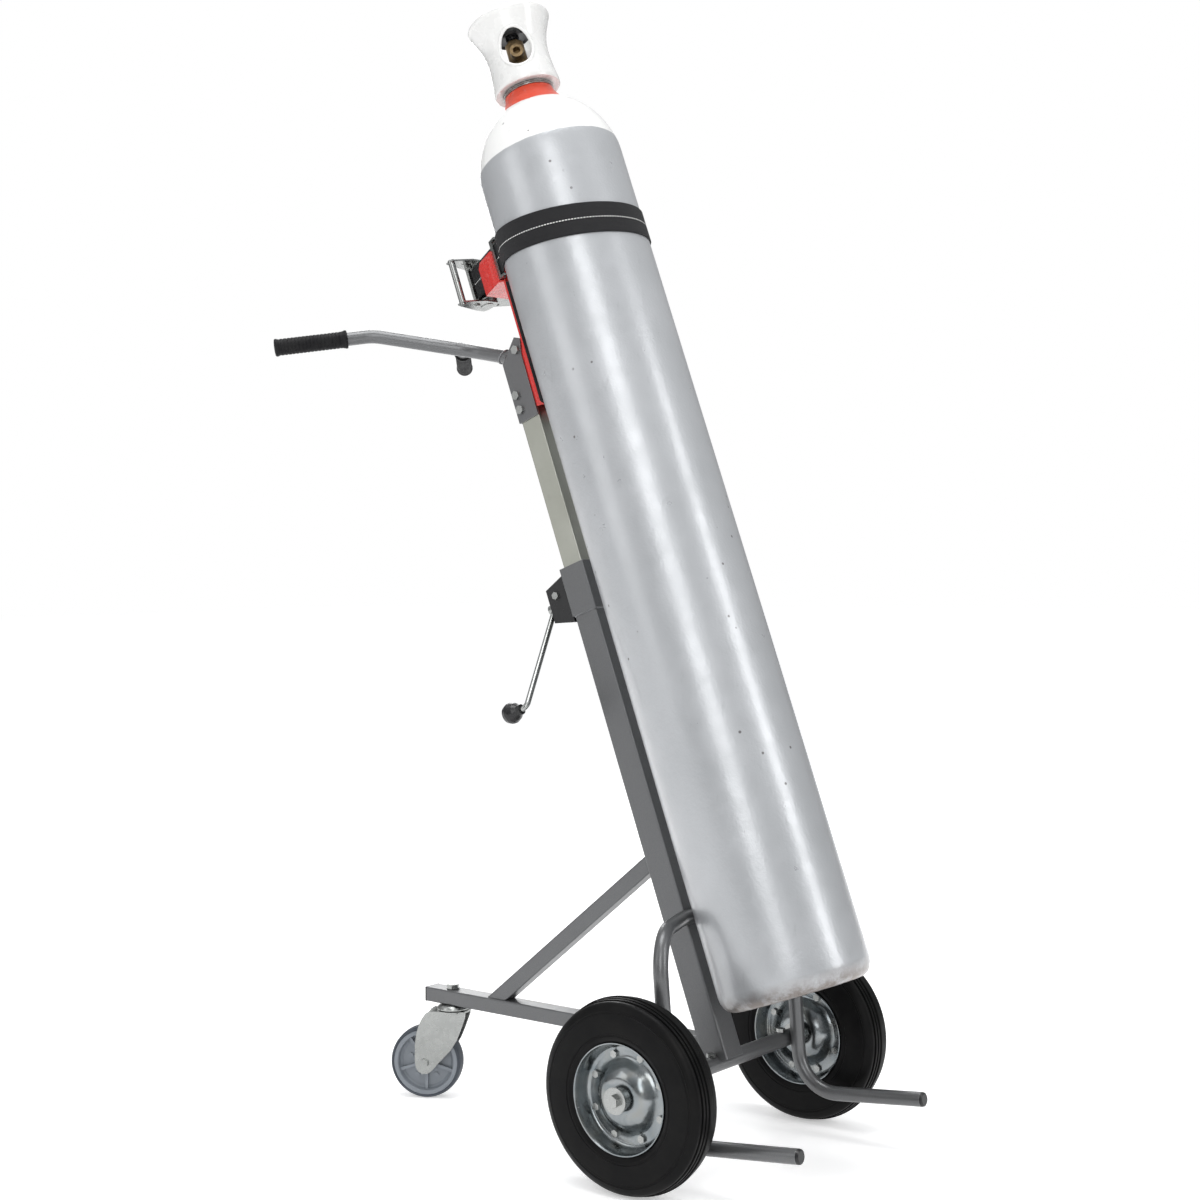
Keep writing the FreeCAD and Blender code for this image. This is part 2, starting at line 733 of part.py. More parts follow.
def caster_place():
    """Under the arm on the swivel axis, Y towards the caster's trailing side."""
    return WORLD.multiply(place((0, size("caster_y"), 0), Rotation(Z, size("caster_turn"))))


def arm_underside():
    lift = (size("arm_end") - size("caster_y")) * math.tan(math.radians(size("arm_rise")))
    return size("arm_end_top") - size("arm_deep") - lift


def make_caster():
    top = arm_underside()
    radius = size("caster_dia") / 2
    head = turned(
        "CasterHead",
        [
            ("caster_bolt_dia / 2", "0"),
            ("25", "0"),
            ("27", "1.6"),
            ("27.2", "3.4"),
            ("25.6", "6.2"),
            ("22.4", "8.4"),
            ("18", "9.6"),
            ("caster_bolt_dia / 2", "9.6"),
        ],
    )
    node("caster_head", head, caster_place().multiply(place((0, 0, top - 9.9))))
    stud = bolt("CasterBolt", "11.9", "46", "19", "7.5")
    nut = hexagon("CasterNut", "9.5", "7", (0, 0, -46))
    shank_top = top + size("arm_deep") + 0.6
    node("caster_mount_bolt", fuse("CasterMountBolt", stud, nut), caster_place().multiply(place((0, 0, shank_top))))
    crown_top = top - 10.3
    half_gap = size("caster_width") / 2 + 2.4
    sheet_thick = 3.0
    trail = size("caster_trail")
    crown = cut(
        "CasterCrown",
        cylinder("CrownDisc", "27", str(sheet_thick), (0, 0, crown_top - sheet_thick)),
        cylinder("CrownHole", "caster_bolt_dia / 2", "12", (0, 0, crown_top - 9)),
    )
    cheeks = []
    for k, sign in enumerate((-1, 1)):
        cheek = plate(
            f"CasterCheek{k}",
            [
                ("-25", f"{crown_top}"),
                ("36", f"{crown_top}"),
                ("43", f"{crown_top} - 4"),
                ("49", f"{crown_top} - 12"),
                ("54", f"{crown_top} - 22"),
                ("caster_trail + 13", f"{crown_top} - 36"),
                ("caster_trail + 16", f"{crown_top} - 56"),
                ("caster_trail + 16.5", "caster_dia / 2 + 2"),
                ("caster_trail + 15", "caster_dia / 2 - 8"),
                ("caster_trail + 11", "caster_dia / 2 - 14.5"),
                ("caster_trail + 4", "caster_dia / 2 - 18.5"),
                ("caster_trail - 4", "caster_dia / 2 - 18"),
                ("caster_trail - 11", "caster_dia / 2 - 14"),
                ("21", "caster_dia / 2 + 1"),
                ("0", "caster_dia / 2 + 23"),
                ("-8", "caster_dia / 2 + 36"),
                ("-15", "caster_dia / 2 + 52"),
                ("-24", f"{crown_top} - 10"),
            ],
            str(sheet_thick),
            "YZ_Plane",
        )
        cheek.Placement = place((sign * (half_gap + sheet_thick / 2), 0, 0))
        cheeks.append(cheek)
    fork = fuse("CasterForkSheet", crown, *cheeks)
    bore = cylinder("CasterForkHole", "4.1", "80", (-40, trail, radius), ALONG_X)
    node("caster_fork", cut("CasterFork", fork, bore), caster_place())
    span = 2 * (half_gap + sheet_thick)
    pin = fuse(
        "CasterAxle",
        cylinder("CasterAxleShank", "4", str(span + 9), (-span / 2 - 0.5, trail, radius), ALONG_X),
        hexagon("CasterAxleHead", "6.5", "5", (-span / 2 - 5.1, trail, radius), ALONG_X),
        hexagon("CasterAxleNut", "6.5", "6", (span / 2 + 0.1, trail, radius), ALONG_X),
        cylinder("CasterSleeve", "6", str(span - 2 * sheet_thick), (
            -span / 2 + sheet_thick, trail, radius), ALONG_X),
    )
    node("caster_axle_bolt", pin, caster_place())
    where = caster_place().multiply(place((0, trail, radius), ALONG_X))
    half, core = "caster_width / 2", "caster_core_dia / 2"
    tread = turned(
        "CasterTyre",
        [
            (core, f"-{half} + 2"),
            (f"{core} + 1.5", f"-{half} + 0.3"),
            ("caster_dia / 2 - 2.6", f"-{half} + 1"),
            ("caster_dia / 2 - 0.9", f"-{half} + 4"),
            ("caster_dia / 2 - 0.2", f"-{half} + 9"),
            ("caster_dia / 2", "0"),
            ("caster_dia / 2 - 0.2", f"{half} - 9"),
            ("caster_dia / 2 - 0.9", f"{half} - 4"),
            ("caster_dia / 2 - 2.6", f"{half} - 1"),
            (f"{core} + 1.5", f"{half} - 0.3"),
            (core, f"{half} - 2"),
        ],
    )
    node("caster_tyre", tread, where)
    centre = turned(
        "CasterCore",
        [
            ("6 + fit_gap", f"-{half} - 2"),
            ("13", f"-{half} - 2"),
            ("14.5", "-7"),
            ("21", "-4"),
            (f"{core} - 13", "-3"),
            (f"{core} - 9", "-6"),
            (f"{core} - 7", f"-{half} + 2.6"),
            (f"{core} - 5.5", f"-{half} + 1.6"),
            (core, f"-{half} + 2"),
            (core, f"{half} - 2"),
            (f"{core} - 5.5", f"{half} - 1.6"),
            (f"{core} - 7", f"{half} - 2.6"),
            (f"{core} - 9", "6"),
            (f"{core} - 13", "3"),
            ("21", "4"),
            ("14.5", "7"),
            ("13", f"{half} + 2"),
            ("6 + fit_gap", f"{half} + 2"),
        ],
    )
    spokes = []
    for k in range(5):
        turn = place((0, 0, 0), Rotation(Z, 72 * k))
        spoke = box(f"CasterSpoke{k}", "39", "5", "19", (11, -2.5, -9.5))
        boss = cylinder(f"CasterBoss{k}", "4", "12", (28 * math.cos(0.63), 28 * math.sin(0.63), -6))
        for obj in (spoke, boss):
            obj.Placement = turn.multiply(obj.Placement)
            spokes.append(obj)
    node("caster_core", fuse("CasterWheelCore", centre, *spokes), where)


# ================================================================ the crank and the screw


def mitre_gear(name, bore_radius, hub_length, phase):
    """A straight mitre gear about Z, its cone's apex at the origin and its teeth facing +Z, below the apex."""
    pitch, teeth, face = size("gear_radius"), int(size("gear_teeth")), size("gear_face")
    cone = pitch * math.sqrt(2)
    inner = 1 - face / cone
    step = 2 * math.pi * pitch / teeth
    module = 2 * pitch / teeth
    high, deep = 0.6 * module, 0.9 * module
    slope = 1 / math.sqrt(2)
    root = [
        Vector((pitch - deep * slope) * k, 0, -(pitch + deep * slope) * k) for k in (1.0, inner)
    ]
    back = Vector(root[0].x - 2.4, 0, root[0].z - 2.4)
    profile = Part.makePolygon(
        [
            Vector(bore_radius, 0, root[1].z),
            root[1],
            root[0],
            back,
            Vector(bore_radius + 2.5, 0, back.z),
            Vector(bore_radius + 2.5, 0, back.z - hub_length),
            Vector(bore_radius, 0, back.z - hub_length),
            Vector(bore_radius, 0, root[1].z),
        ]
    )
    blank = Part.Face(profile).revolve(Vector(), Z, 360)

    def tooth_wire(scale):
        corners = []
        for out, half_thick in ((-deep - 0.3, 0.27), (high, 0.13), (high, -0.13), (-deep - 0.3, -0.27)):
            radial, down = pitch + out * slope, pitch - out * slope
            corners.append(Vector(radial, half_thick * step, -down) * scale)
        return Part.makePolygon(corners + corners[:1])

    tooth = Part.makeLoft([tooth_wire(1.0), tooth_wire(inner)], True, True)
    around = []
    for k in range(teeth):
        copy = tooth.copy()
        copy.rotate(Vector(), Z, 360.0 * (k + phase) / teeth)
        around.append(copy)
    return solid(name, blank.multiFuse(around).removeSplitter())


def crank_place():
    """On the crank shaft: X as the mast's, Z straight back, Y down along the mast."""
    return MAST.multiply(place((0, 0, size("crank_up")), Rotation(X, -90)))


def crank_tip():
    """The arm's far end in the crank's own axes."""
    angle = math.radians(size("crank_angle"))
    reach = size("crank_reach")
    return Vector(reach * math.sin(angle), -reach * math.cos(angle), size("crank_plane"))


def make_crank():
    tip = crank_tip()
    plane = size("crank_plane")
    bend = 9.0
    wire = bent_path(
        [(0, 0, plane), tuple(tip), (tip.x, tip.y, plane + 38)],
        [bend],
    )
    bar = swept("CrankBar", wire, size("crank_bar_dia") / 2)
    shaft = cylinder("CrankShaft", "shaft_dia / 2", str(plane + 7 - 17), (0, 0, 17))
    boss = cylinder("CrankBoss", "9", "14", (0, 0, plane - 7))
    node("crank_arm", fuse("CrankArm", bar, shaft, boss), crank_place())
    gear = mitre_gear("CrankPinion", size("shaft_dia") / 2 - 0.5, 0.4, 0.25)
    flip = crank_place().multiply(place((0, 0, 0), Rotation(X, 180)))
    stub = cylinder("PinionStub", "shaft_dia / 2", "6", (0, 0, -17))
    pinion = fuse("PinionWithStub", gear, stub)
    node("crank_pinion", pinion, flip)
    knob = turned(
        "CrankKnob",
        [
            ("crank_bar_dia / 2 + fit_gap", "0"),
            ("8", "0"),
            ("9", "5"),
            ("knob_dia / 2 - 3", "11"),
            ("knob_dia / 2", "18"),
            ("knob_dia / 2", "23"),
            ("knob_dia / 2 - 3", "30"),
            ("knob_dia / 2 - 8", "34"),
            ("4", "36"),
            ("0", "36"),
            ("0", "32"),
            ("crank_bar_dia / 2 + fit_gap", "32"),
        ],
    )
    node("crank_knob", knob, crank_place().multiply(place((tip.x, tip.y, plane + 10))))


def make_housing():
    """A black moulded cover open towards the mast, with the crank shaft through its back wall."""
    outside = plate(
        "HousingBlock",
        [
            ("collar_side / 2 + 0.2", "crank_up - 37"),
            ("64", "crank_up - 26"),
            ("64", "crank_up + 28"),
            ("collar_side / 2 + 0.2", "crank_up + 40"),
        ],
        "42",
        "YZ_Plane",
    )
    inside = plate(
        "HousingHollow",
        [
            ("collar_side / 2", "crank_up - 30"),
            ("58", "crank_up - 21"),
            ("58", "crank_up + 23"),
            ("collar_side / 2", "crank_up + 33"),
        ],
        "35",
        "YZ_Plane",
    )
    hole = cylinder("HousingHole", "shaft_dia / 2 + fit_gap", "20", (0, 50, size("crank_up")), ALONG_Y)
    cross = cylinder("HousingBoltHole", "3.1", "60", (-30, 46, size("crank_up") + 14), ALONG_X)
    node("crank_housing", cut("CrankHousing", outside, inside, hole, cross), MAST)
    pin = fuse(
        "HousingBolt",
        cylinder("HousingBoltShank", "3", "50", (-24, 46, size("crank_up") + 14), ALONG_X),
        hexagon("HousingBoltHead", "5.5", "4.5", (-25.7, 46, size("crank_up") + 14), ALONG_X),
        hexagon("HousingBoltNut", "5.5", "4.5", (21.2, 46, size("crank_up") + 14), ALONG_X),
    )
    node("housing_bolt", pin, MAST)


def make_screw():
    top = size("crank_up")
    gear = mitre_gear("ScrewGear", 4.0, 3.0, 0.25)
    node("screw_gear", gear, MAST.multiply(place((0, 0, top))))
    shoulder = 714.5
    screw = fuse(
        "LiftScrew",
        cylinder("ScrewThread", "screw_dia / 2", f"{shoulder} - screw_foot - 0.2", (0, 0, size("screw_foot"))),
        cylinder("ScrewJournal", "4", str(top - 8 - shoulder + 1), (0, 0, shoulder - 1)),
    )
    node("lift_screw", screw, MAST)
    ring = box("BearingBlock", "30", "30", "8", (-15, -15, shoulder))
    neck_half = size("slot_width") / 2 - 1.5
    neck = box("BearingNeck", "slot_width - 3", "6", "8", (-neck_half, 14, shoulder))
    bore = cylinder("ScrewBearingBore", "4 + fit_gap", "10", (0, 0, shoulder - 1))
    node("screw_bearing", cut("ScrewBearing", fuse("BearingBody", ring, neck), bore), MAST)


# ================================================================ the lifting tube and its head


def make_inner_tube():
    tube = box_tube("InnerTubeBox", "inner_side", "inner_side", "inner_wall", "inner_top - inner_foot", "2.5")
    tube.Placement = place((0, 0, size("inner_foot")))
    slot = box(
        "InnerSlot", "slot_width", "10", "slot_top - slot_foot", (-size("slot_width") / 2, 12, size("slot_foot"))
    )
    holes = [head_bolt_cutter(f"InnerHole{k}", up) for k, up in enumerate(HEAD_BOLTS)]
    node("mast_inner_tube", cut("InnerTube", tube, slot, *holes), MAST)
    sleeve = box_tube("GlideBox", "inner_side + 1.8", "inner_side + 1.8", "0.9", "40", "1.5")
    node("glide_sleeve", sleeve, MAST.multiply(place((0, 0, size("inner_foot")))))
    half = -size("inner_side") / 2 + size("inner_wall")
    block = box(
        "NutBlock",
        "inner_side - 2 * inner_wall",
        "inner_side - 2 * inner_wall",
        "nut_height",
        (half, half, size("inner_foot") + 2),
    )
    bore = cylinder("NutBore", "screw_dia / 2 + fit_gap", "nut_height + 4", (0, 0, size("inner_foot")))
    node("lift_nut", cut("LiftNut", block, bore), MAST)


HEAD_BOLTS = (1057.7, 1082.3)
HEAD_BOLT_Y = 11.0


def head_bolt_cutter(name, up):
    return cylinder(name, "4", "60", (-30, HEAD_BOLT_Y, up), ALONG_X)


def head_corners(inset):
    """The head bracket seen from the side; inset draws it in from the back, for the hollow."""
    back, slope = size("head_side") / 2 - inset, inset * 1.2
    return [
        (-19.0 - inset * 4, 1038.0 - inset * 4),
        (back, 1038.0 - inset * 4),
        (back, 1140.0 - slope * 0.4),
        (-15.5 - inset * 0.4, 1172.0 - slope),
        (-26.0 - inset * 4, 1166.0 - slope * 0.4),
        (-20.0 - inset * 4, 1141.0),
    ]


def side_plate(name, corners, thick, half_gap=0.0):
    return plate(name, [(str(round(y, 2)), str(round(z, 2))) for y, z in corners], thick, "YZ_Plane")


def make_head():
    outside = side_plate("HeadBlock", head_corners(0.0), "head_side")
    inside = side_plate("HeadHollow", head_corners(2.5), "inner_side")
    holes = [head_bolt_cutter(f"HeadHole{k}", up) for k, up in enumerate(HEAD_BOLTS)]
    pivot = cylinder("CradleBoltHole", "4", "60", (-30, CRADLE_BOLT[0], CRADLE_BOLT[1]), ALONG_X)
    node("head_bracket", cut("HeadBracket", outside, inside, *holes, pivot), MAST)
    bolts = [cross_bolt(f"HeadBolt{k}", HEAD_BOLT_Y, up) for k, up in enumerate(HEAD_BOLTS)]
    node("head_bolts", group("HeadBolts", *bolts), MAST)


CRADLE_BOLT = (-13.0, 1151.0)


def cross_bolt(name, y, up):
    """An M8 bolt across the head bracket, with its nut."""
    half = size("head_side") / 2
    return fuse(
        name,
        cylinder(name + "Shank", "4", "head_side + 12", (-half - 1, y, up), ALONG_X),
        hexagon(name + "Head", "6.5", "5.3", (-half - 5.3, y, up), ALONG_X),
        hexagon(name + "Nut", "6.5", "6.5", (half, y, up), ALONG_X),
    )


HANDLE = [(383.0, 1217.6, None), (468.5, 1235.0, 11.5), (601.5, 1263.0, 108.0), (702.4, 1242.6, 226.6)]


def handle_points(sign):
    near = size("handle_gap")
    return [
        (sign * (near if x is None else x), y, z)
        for y, z, x in HANDLE
    ]


def make_handlebar():
    tubes, grips = [], []
    bend = 70.0
    for k, sign in enumerate((-1, 1)):
        points = handle_points(sign)
        bar = bent_tube(f"HandleTube{k}", points, [bend, bend], size("bar_dia"), size("bar_wall"))
        head = side_plate(f"HandleCutter{k}", head_corners(0.0), "head_side + 40")
        head.Placement = WORLD.inverse().multiply(MAST)
        tubes.append(cut(f"HandleCut{k}", bar, head))
        end, before = Vector(*points[-1]), Vector(*points[-2])
        ahead = (end - before).normalize()
        start = end - ahead * (size("grip_length") - 4)
        grip = turned(
            f"Grip{k}",
            [
                ("bar_dia / 2", "0"),
                ("grip_dia / 2 + 1.2", "0"),
                ("grip_dia / 2 + 1.2", "4"),
                ("grip_dia / 2", "6"),
                ("grip_dia / 2", "grip_length - 6"),
                ("grip_dia / 2 + 1", "grip_length - 4"),
                ("grip_dia / 2", "grip_length"),
                ("0", "grip_length"),
                ("0", "grip_length - 4"),
                ("bar_dia / 2", "grip_length - 4"),
            ],
        )
        grip.Placement = Placement(start, Rotation(Z, ahead))
        grips.append(grip)
    node("handle_tubes", group("HandleTubes", *tubes), WORLD)
    node("hand_grips", group("HandGrips", *grips), WORLD)


# ================================================================ the cradle, the strap and its ratchet


def cylinder_y():
    """The gas cylinder's axis, in front of the mast's centre line."""
    return -(size("mast_side") / 2 + size("cylinder_gap") + size("cylinder_dia") / 2)


def arc_plate(name, inner, outer, half_angle, foot, top):
    """A plate curved about the gas cylinder's axis, behind it."""
    centre = Vector(0, cylinder_y(), foot)

    def point(radius, degrees):
        angle = math.radians(degrees)
        return centre + Vector(radius * math.sin(angle), radius * math.cos(angle), 0)

    edges = [
        Part.Arc(point(outer, -half_angle), point(outer, 0), point(outer, half_angle)).toShape(),
        Part.LineSegment(point(outer, half_angle), point(inner, half_angle)).toShape(),
        Part.Arc(point(inner, half_angle), point(inner, 0), point(inner, -half_angle)).toShape(),
        Part.LineSegment(point(inner, -half_angle), point(outer, -half_angle)).toShape(),
    ]
    return solid(name, Part.Face(Part.Wire(edges)).extrude(Vector(0, 0, top - foot)))


def make_cradle():
    radius = size("cylinder_dia") / 2 + 0.1
    padded = radius + size("pad_thick")
    outer = padded + size("cradle_thick")
    half = size("cradle_half")
    foot, top = size("cradle_foot"), size("cradle_top")
    back = arc_plate("CradleBack", padded, outer, half, foot, top)
    front_y = cylinder_y() + outer - 1.0
    rib_corners = [
        (front_y, foot),
        (-19.4, foot + 4),
        (-19.4, 1139.0),
        (-6.0, 1141.0),
        (-6.0, 1154.0),
        (-15.0, 1161.5),
        (-29.0, 1160.0),
        (front_y, 1176.0),
    ]
    ribs = []
    for k, at in enumerate((-17.3, 17.3)):
        rib = side_plate(f"CradleRib{k}", rib_corners, "cradle_thick")
        rib.Placement = place((at, 0, 0))
        ribs.append(rib)
    pivot = cylinder("CradlePivotHole", "4", "60", (-30, CRADLE_BOLT[0], CRADLE_BOLT[1]), ALONG_X)
    node("cradle_plate", cut("CradlePlate", fuse("CradleWelded", back, *ribs), pivot), MAST)
    node("cradle_bolt", cross_bolt("CradleBolt", *CRADLE_BOLT), MAST)
    pad_ = arc_plate("CradlePad", radius, padded, half + 1.0, foot - 6, top - 6)
    node("cradle_pad", pad_, MAST)


def prism(corners, low, high):
    """A straight-sided outline in the mast's cross-section, drawn out along the mast."""
    loop = [Vector(x, y, low) for x, y in corners]
    return Part.Face(Part.makePolygon(loop + loop[:1])).extrude(Vector(0, 0, high - low))


def make_strap_bracket():
    """A red channel that carries the ratchet, on a shelf welded to the cradle's top edge.

    The shelf turns up into a wing on the left that covers the strap.
    """
    low, high = size("ratchet_up") - 24, size("ratchet_up") + 24
    top = size("cradle_top")
    outer = [(-44.0, -46.0), (-30.0, -4.0), (30.0, -4.0), (44.0, -46.0)]
    inner = [(40.9, -46.0), (28.0, -7.0), (-28.0, -7.0), (-40.9, -46.0)]
    channel = prism(outer + inner, low, high)
    near, far = (-64.6, -49.2), (-44.5, -3.2)
    shelf = prism([(-50.0, -62.0), near, far, (30.0, -4.0), (50.0, -48.0), (50.0, -62.0)], top - 3, top)
    web = Part.makeBox(56, 3, low - top, Vector(-28, -7, top))
    wing = prism([near, far, (-41.8, -4.4), (-61.9, -50.4)], top - 3, size("ratchet_up") + 17)
    corner = [Vector(0, 8, 1285), Vector(0, 8, 1310), Vector(0, -22, 1310)]
    chamfer = Part.Face(Part.makePolygon(corner + corner[:1])).extrude(Vector(-90, 0, 0))
    radius = size("cylinder_dia") / 2 + 0.1 + size("pad_thick") + size("cradle_thick")
    clear = Part.makeCylinder(radius, 400, Vector(0, cylinder_y(), 1000))
    welded = channel.multiFuse([shelf, web]).cut(clear).fuse(wing.cut(chamfer)).removeSplitter()
    node("strap_bracket", solid("StrapBracket", welded), MAST)


def make_ratchet():
    """A strap ratchet: base, spool of two half shafts, toothed wheels, handle and the two pawls."""
    up, half = size("ratchet_up"), size("ratchet_half")
    sheet_thick = size("ratchet_sheet")
    x, y = size("spool_x"), size("spool_y")
    floor_y = -4.0
    side_line = [
        ("-24", "-4"),
        ("62", "-4"),
        ("64", "10"),
        ("52", "24"),
        ("spool_x + 16", "spool_y + 13"),
        ("spool_x - 12", "spool_y + 13"),
        ("spool_x - 16", "spool_y"),
    ]
    sides = []
    for k, sign in enumerate((-1, 1)):
        wall = plate(f"RatchetSide{k}", side_line, "ratchet_sheet")
        wall.Placement = place((0, 0, up + sign * (half - sheet_thick / 2)))
        sides.append(wall)
    floor = box("RatchetFloor", "70", "ratchet_sheet", "2 * ratchet_half - 1", (-20, floor_y, up - half + 0.5))
    pin_x, pin_y = ANCHOR
    anchor = cylinder("RatchetAnchor", "5", "2 * ratchet_half + 8", (pin_x, pin_y, up - half - 4))
    heads = [
        hexagon(f"AnchorHead{k}", "8", "5", (pin_x, pin_y, at))
        for k, at in enumerate((up - half - 5, up + half))
    ]
    hole = cylinder("SpoolHole", "11 + fit_gap", "100", (x, y, up - 50))
    slots = box("BasePawlSlot", "12", "4.4", "100", (x + 19, y - 2.2, up - 50))
    base = cut("RatchetBase", fuse("RatchetWelded", *sides, floor, anchor, *heads), hole, slots)
    node("ratchet_base", base, MAST)
    length = 2 * half + 14
    bar = cylinder("SpoolBar", "11", str(length), (x, y, up - length / 2))
    slit = box("SpoolSlit", "30", "4", "2 * ratchet_half - 6", (x - 15, y - 2, up - half + 3))
    node("ratchet_spool", cut("RatchetSpool", bar, slit), MAST)
    wheels = []
    for k, sign in enumerate((-1, 1)):
        at = up + sign * (half + 1.9)
        wheels.append(solid(f"RatchetWheel{k}", toothed_wheel(x, y, at, 3.0)))
    node("ratchet_wheels", group("RatchetWheels", *wheels), MAST)
    make_ratchet_handle(x, y, up, half)


def toothed_wheel(x, y, up, thick):
    teeth, tip, root = 12, 19.0, 15.5
    corners = []
    for k in range(teeth):
        start = 2 * math.pi * k / teeth
        for radius, share in ((root, 0.0), (tip, 0.55), (tip, 0.8)):
            angle = start + share * 2 * math.pi / teeth
            corners.append(Vector(x + radius * math.cos(angle), y + radius * math.sin(angle), up - thick / 2))
    disc = Part.Face(Part.makePolygon(corners + corners[:1])).extrude(Vector(0, 0, thick))
    return disc.cut(Part.makeCylinder(11.0, thick, Vector(x, y, up - thick / 2)))


def make_ratchet_handle(x, y, up, half):
    """The handle points to the left, its two plates outside the toothed wheels."""
    reach = size("handle_reach")
    bar_y = y + 4.0
    side_line = [
        (f"{x + 15}", f"{y + 10}"),
        (f"{x + 10}", f"{y + 18}"),
        (f"{x - 8}", f"{y + 18}"),
        (f"{x - reach + 8}", f"{bar_y + 9}"),
        (f"{x - reach - 5}", f"{bar_y + 7}"),
        (f"{x - reach - 5}", f"{bar_y - 7}"),
        (f"{x - 22}", f"{y - 16}"),
        (f"{x + 8}", f"{y - 17}"),
        (f"{x + 15}", f"{y - 9}"),
    ]
    sides = []
    for k, sign in enumerate((-1, 1)):
        wall = plate(f"HandleSide{k}", side_line, "ratchet_sheet")
        wall.Placement = place((0, 0, up + sign * (half + 3.6 + 1.3)))
        sides.append(wall)
    span = 2 * (half + 6.1) + 4
    grip = cylinder("HandleBar", "5.5", str(span), (x - reach, bar_y, up - span / 2))
    spool = cylinder("HandleSpoolHole", "11 + fit_gap", "100", (x, y, up - 50))
    slots = [
        box(f"PawlSlot{k}", "15", "5.4", "8", (x - 34, y - 2.7, up + sign * (half + 4.9) - 4))
        for k, sign in enumerate((-1, 1))
    ]
    handle = cut("RatchetHandle", fuse("HandleWelded", *sides, grip), spool, *slots)
    node("ratchet_handle", handle, MAST)
    wide = 2 * (half + 6.1) + 5
    bar = box("HandlePawlBar", "7", "5", str(wide), (x - 27, y - 2.5, up - wide / 2))
    node("handle_pawl", bar, MAST)
    lock = box("BasePawlBar", "7", "4", str(2 * half + 7), (x + 20, y - 2, up - half - 3.5))
    node("base_pawl", lock, MAST)


ANCHOR = (54.0, 12.0)
STRAP_LEAVES = 34.0
STRAP_BEND_Y = -90.0
STRAP_SLOPE = 0.156


def strap_ring(degrees):
    """A point in the middle of the strap's thickness where it lies on the gas cylinder."""
    radius = size("cylinder_dia") / 2 + 0.2 + size("strap_thick") / 2
    angle = math.radians(degrees)
    return Vector(radius * math.sin(angle), cylinder_y() + radius * math.cos(angle), 0)


def strap_run(start, end):
    """A straight stretch of webbing with rounded ends, 200 mm tall."""
    thick = size("strap_thick")
    ahead = end - start
    run = Part.makeBox(ahead.Length, thick, 200, Vector(0, -thick / 2, 0))
    run.Placement = Placement(start, Rotation(X, ahead))
    ends = [Part.makeCylinder(thick / 2, 200, at) for at in (start, end)]
    return run.multiFuse(ends)


def strap_loop(middle, radius):
    """Webbing wound once round a pin of that radius."""
    outer = Part.makeCylinder(radius + size("strap_thick"), 200, middle)
    return outer.cut(Part.makeCylinder(radius, 200, middle))


def strap_start():
    """Where the left run leaves the spool, in the middle of its thickness."""
    wound = 11.15 + size("strap_thick") / 2
    return Vector(size("spool_x") - 0.916 * wound, size("spool_y") + 0.401 * wound, 0)


def make_strap():
    """Webbing from the spool round the gas cylinder to the ratchet's anchor pin."""
    width = size("strap_width")
    leave = STRAP_LEAVES
    thick = size("strap_thick")
    centre = Vector(0, cylinder_y(), 0)
    mid = (strap_ring(180) - centre).Length
    band = Part.makeCylinder(mid + thick / 2, 200, centre).cut(
        Part.makeCylinder(mid - thick / 2, 200, centre)
    )
    left, right = strap_ring(-leave), strap_ring(leave)
    gap = Part.Face(Part.makePolygon([centre, left * 2 - centre, right * 2 - centre, centre]))
    band = band.cut(gap.extrude(Vector(0, 0, 200)))
    pin = Vector(*ANCHOR, 0)
    held = pin + Vector(5.1 + thick / 2, 0.3, 0)
    spool = Vector(size("spool_x"), size("spool_y"), 0)
    webbing = band.multiFuse(
        [
            strap_run(left, strap_start()),
            strap_run(right, held),
            strap_loop(spool, 11.15),
            strap_loop(pin, 5.1),
        ]
    )
    middle = size("ratchet_up") - size("strap_up") + 100
    front = -320.0
    drop = (STRAP_BEND_Y - front) * STRAP_SLOPE
    side = [
        Vector(-200, front, middle - drop - width / 2),
        Vector(-200, STRAP_BEND_Y, middle - width / 2),
        Vector(-200, 100, middle - width / 2),
        Vector(-200, 100, middle + width / 2),
        Vector(-200, STRAP_BEND_Y, middle + width / 2),
        Vector(-200, front, middle - drop + width / 2),
    ]
    slab = Part.Face(Part.makePolygon(side + side[:1])).extrude(Vector(400, 0, 0))
    strap = webbing.common(slab).removeSplitter()
    node("strap", solid("Strap", strap), MAST.multiply(place((0, 0, size("strap_up") - 100))))


def make_strap_guide():
    """A flat steel loop at the cylinder's side that the strap slides through, with two ears along the cylinder."""
    back = (strap_start() - strap_ring(-STRAP_LEAVES)).normalize()
    out = Z.cross(back)
    at = strap_ring(-STRAP_LEAVES) + back * 13
    outer = box("GuideBlock", "9", "8.4", "66", (-4.5, -4.4, -33))
    inner = box("GuideHollow", "9", "5", "58", (-4.5, -2.5, -29))
    ears = [box(f"GuideEar{k}", "14", "4.4", "4", (-14, -0.4, up)) for k, up in enumerate((-33, 29))]
    for part in (outer, inner, *ears):
        part.Placement = Placement(at + Z * size("ratchet_up"), Rotation(back, out, Z)).multiply(part.Placement)
    node("strap_guide", fuse("StrapGuide", cut("GuideLoop", outer, inner), *ears), MAST)


# ================================================================ the gas cylinder


def cylinder_place():
    return MAST.multiply(place((0, cylinder_y(), 0)))


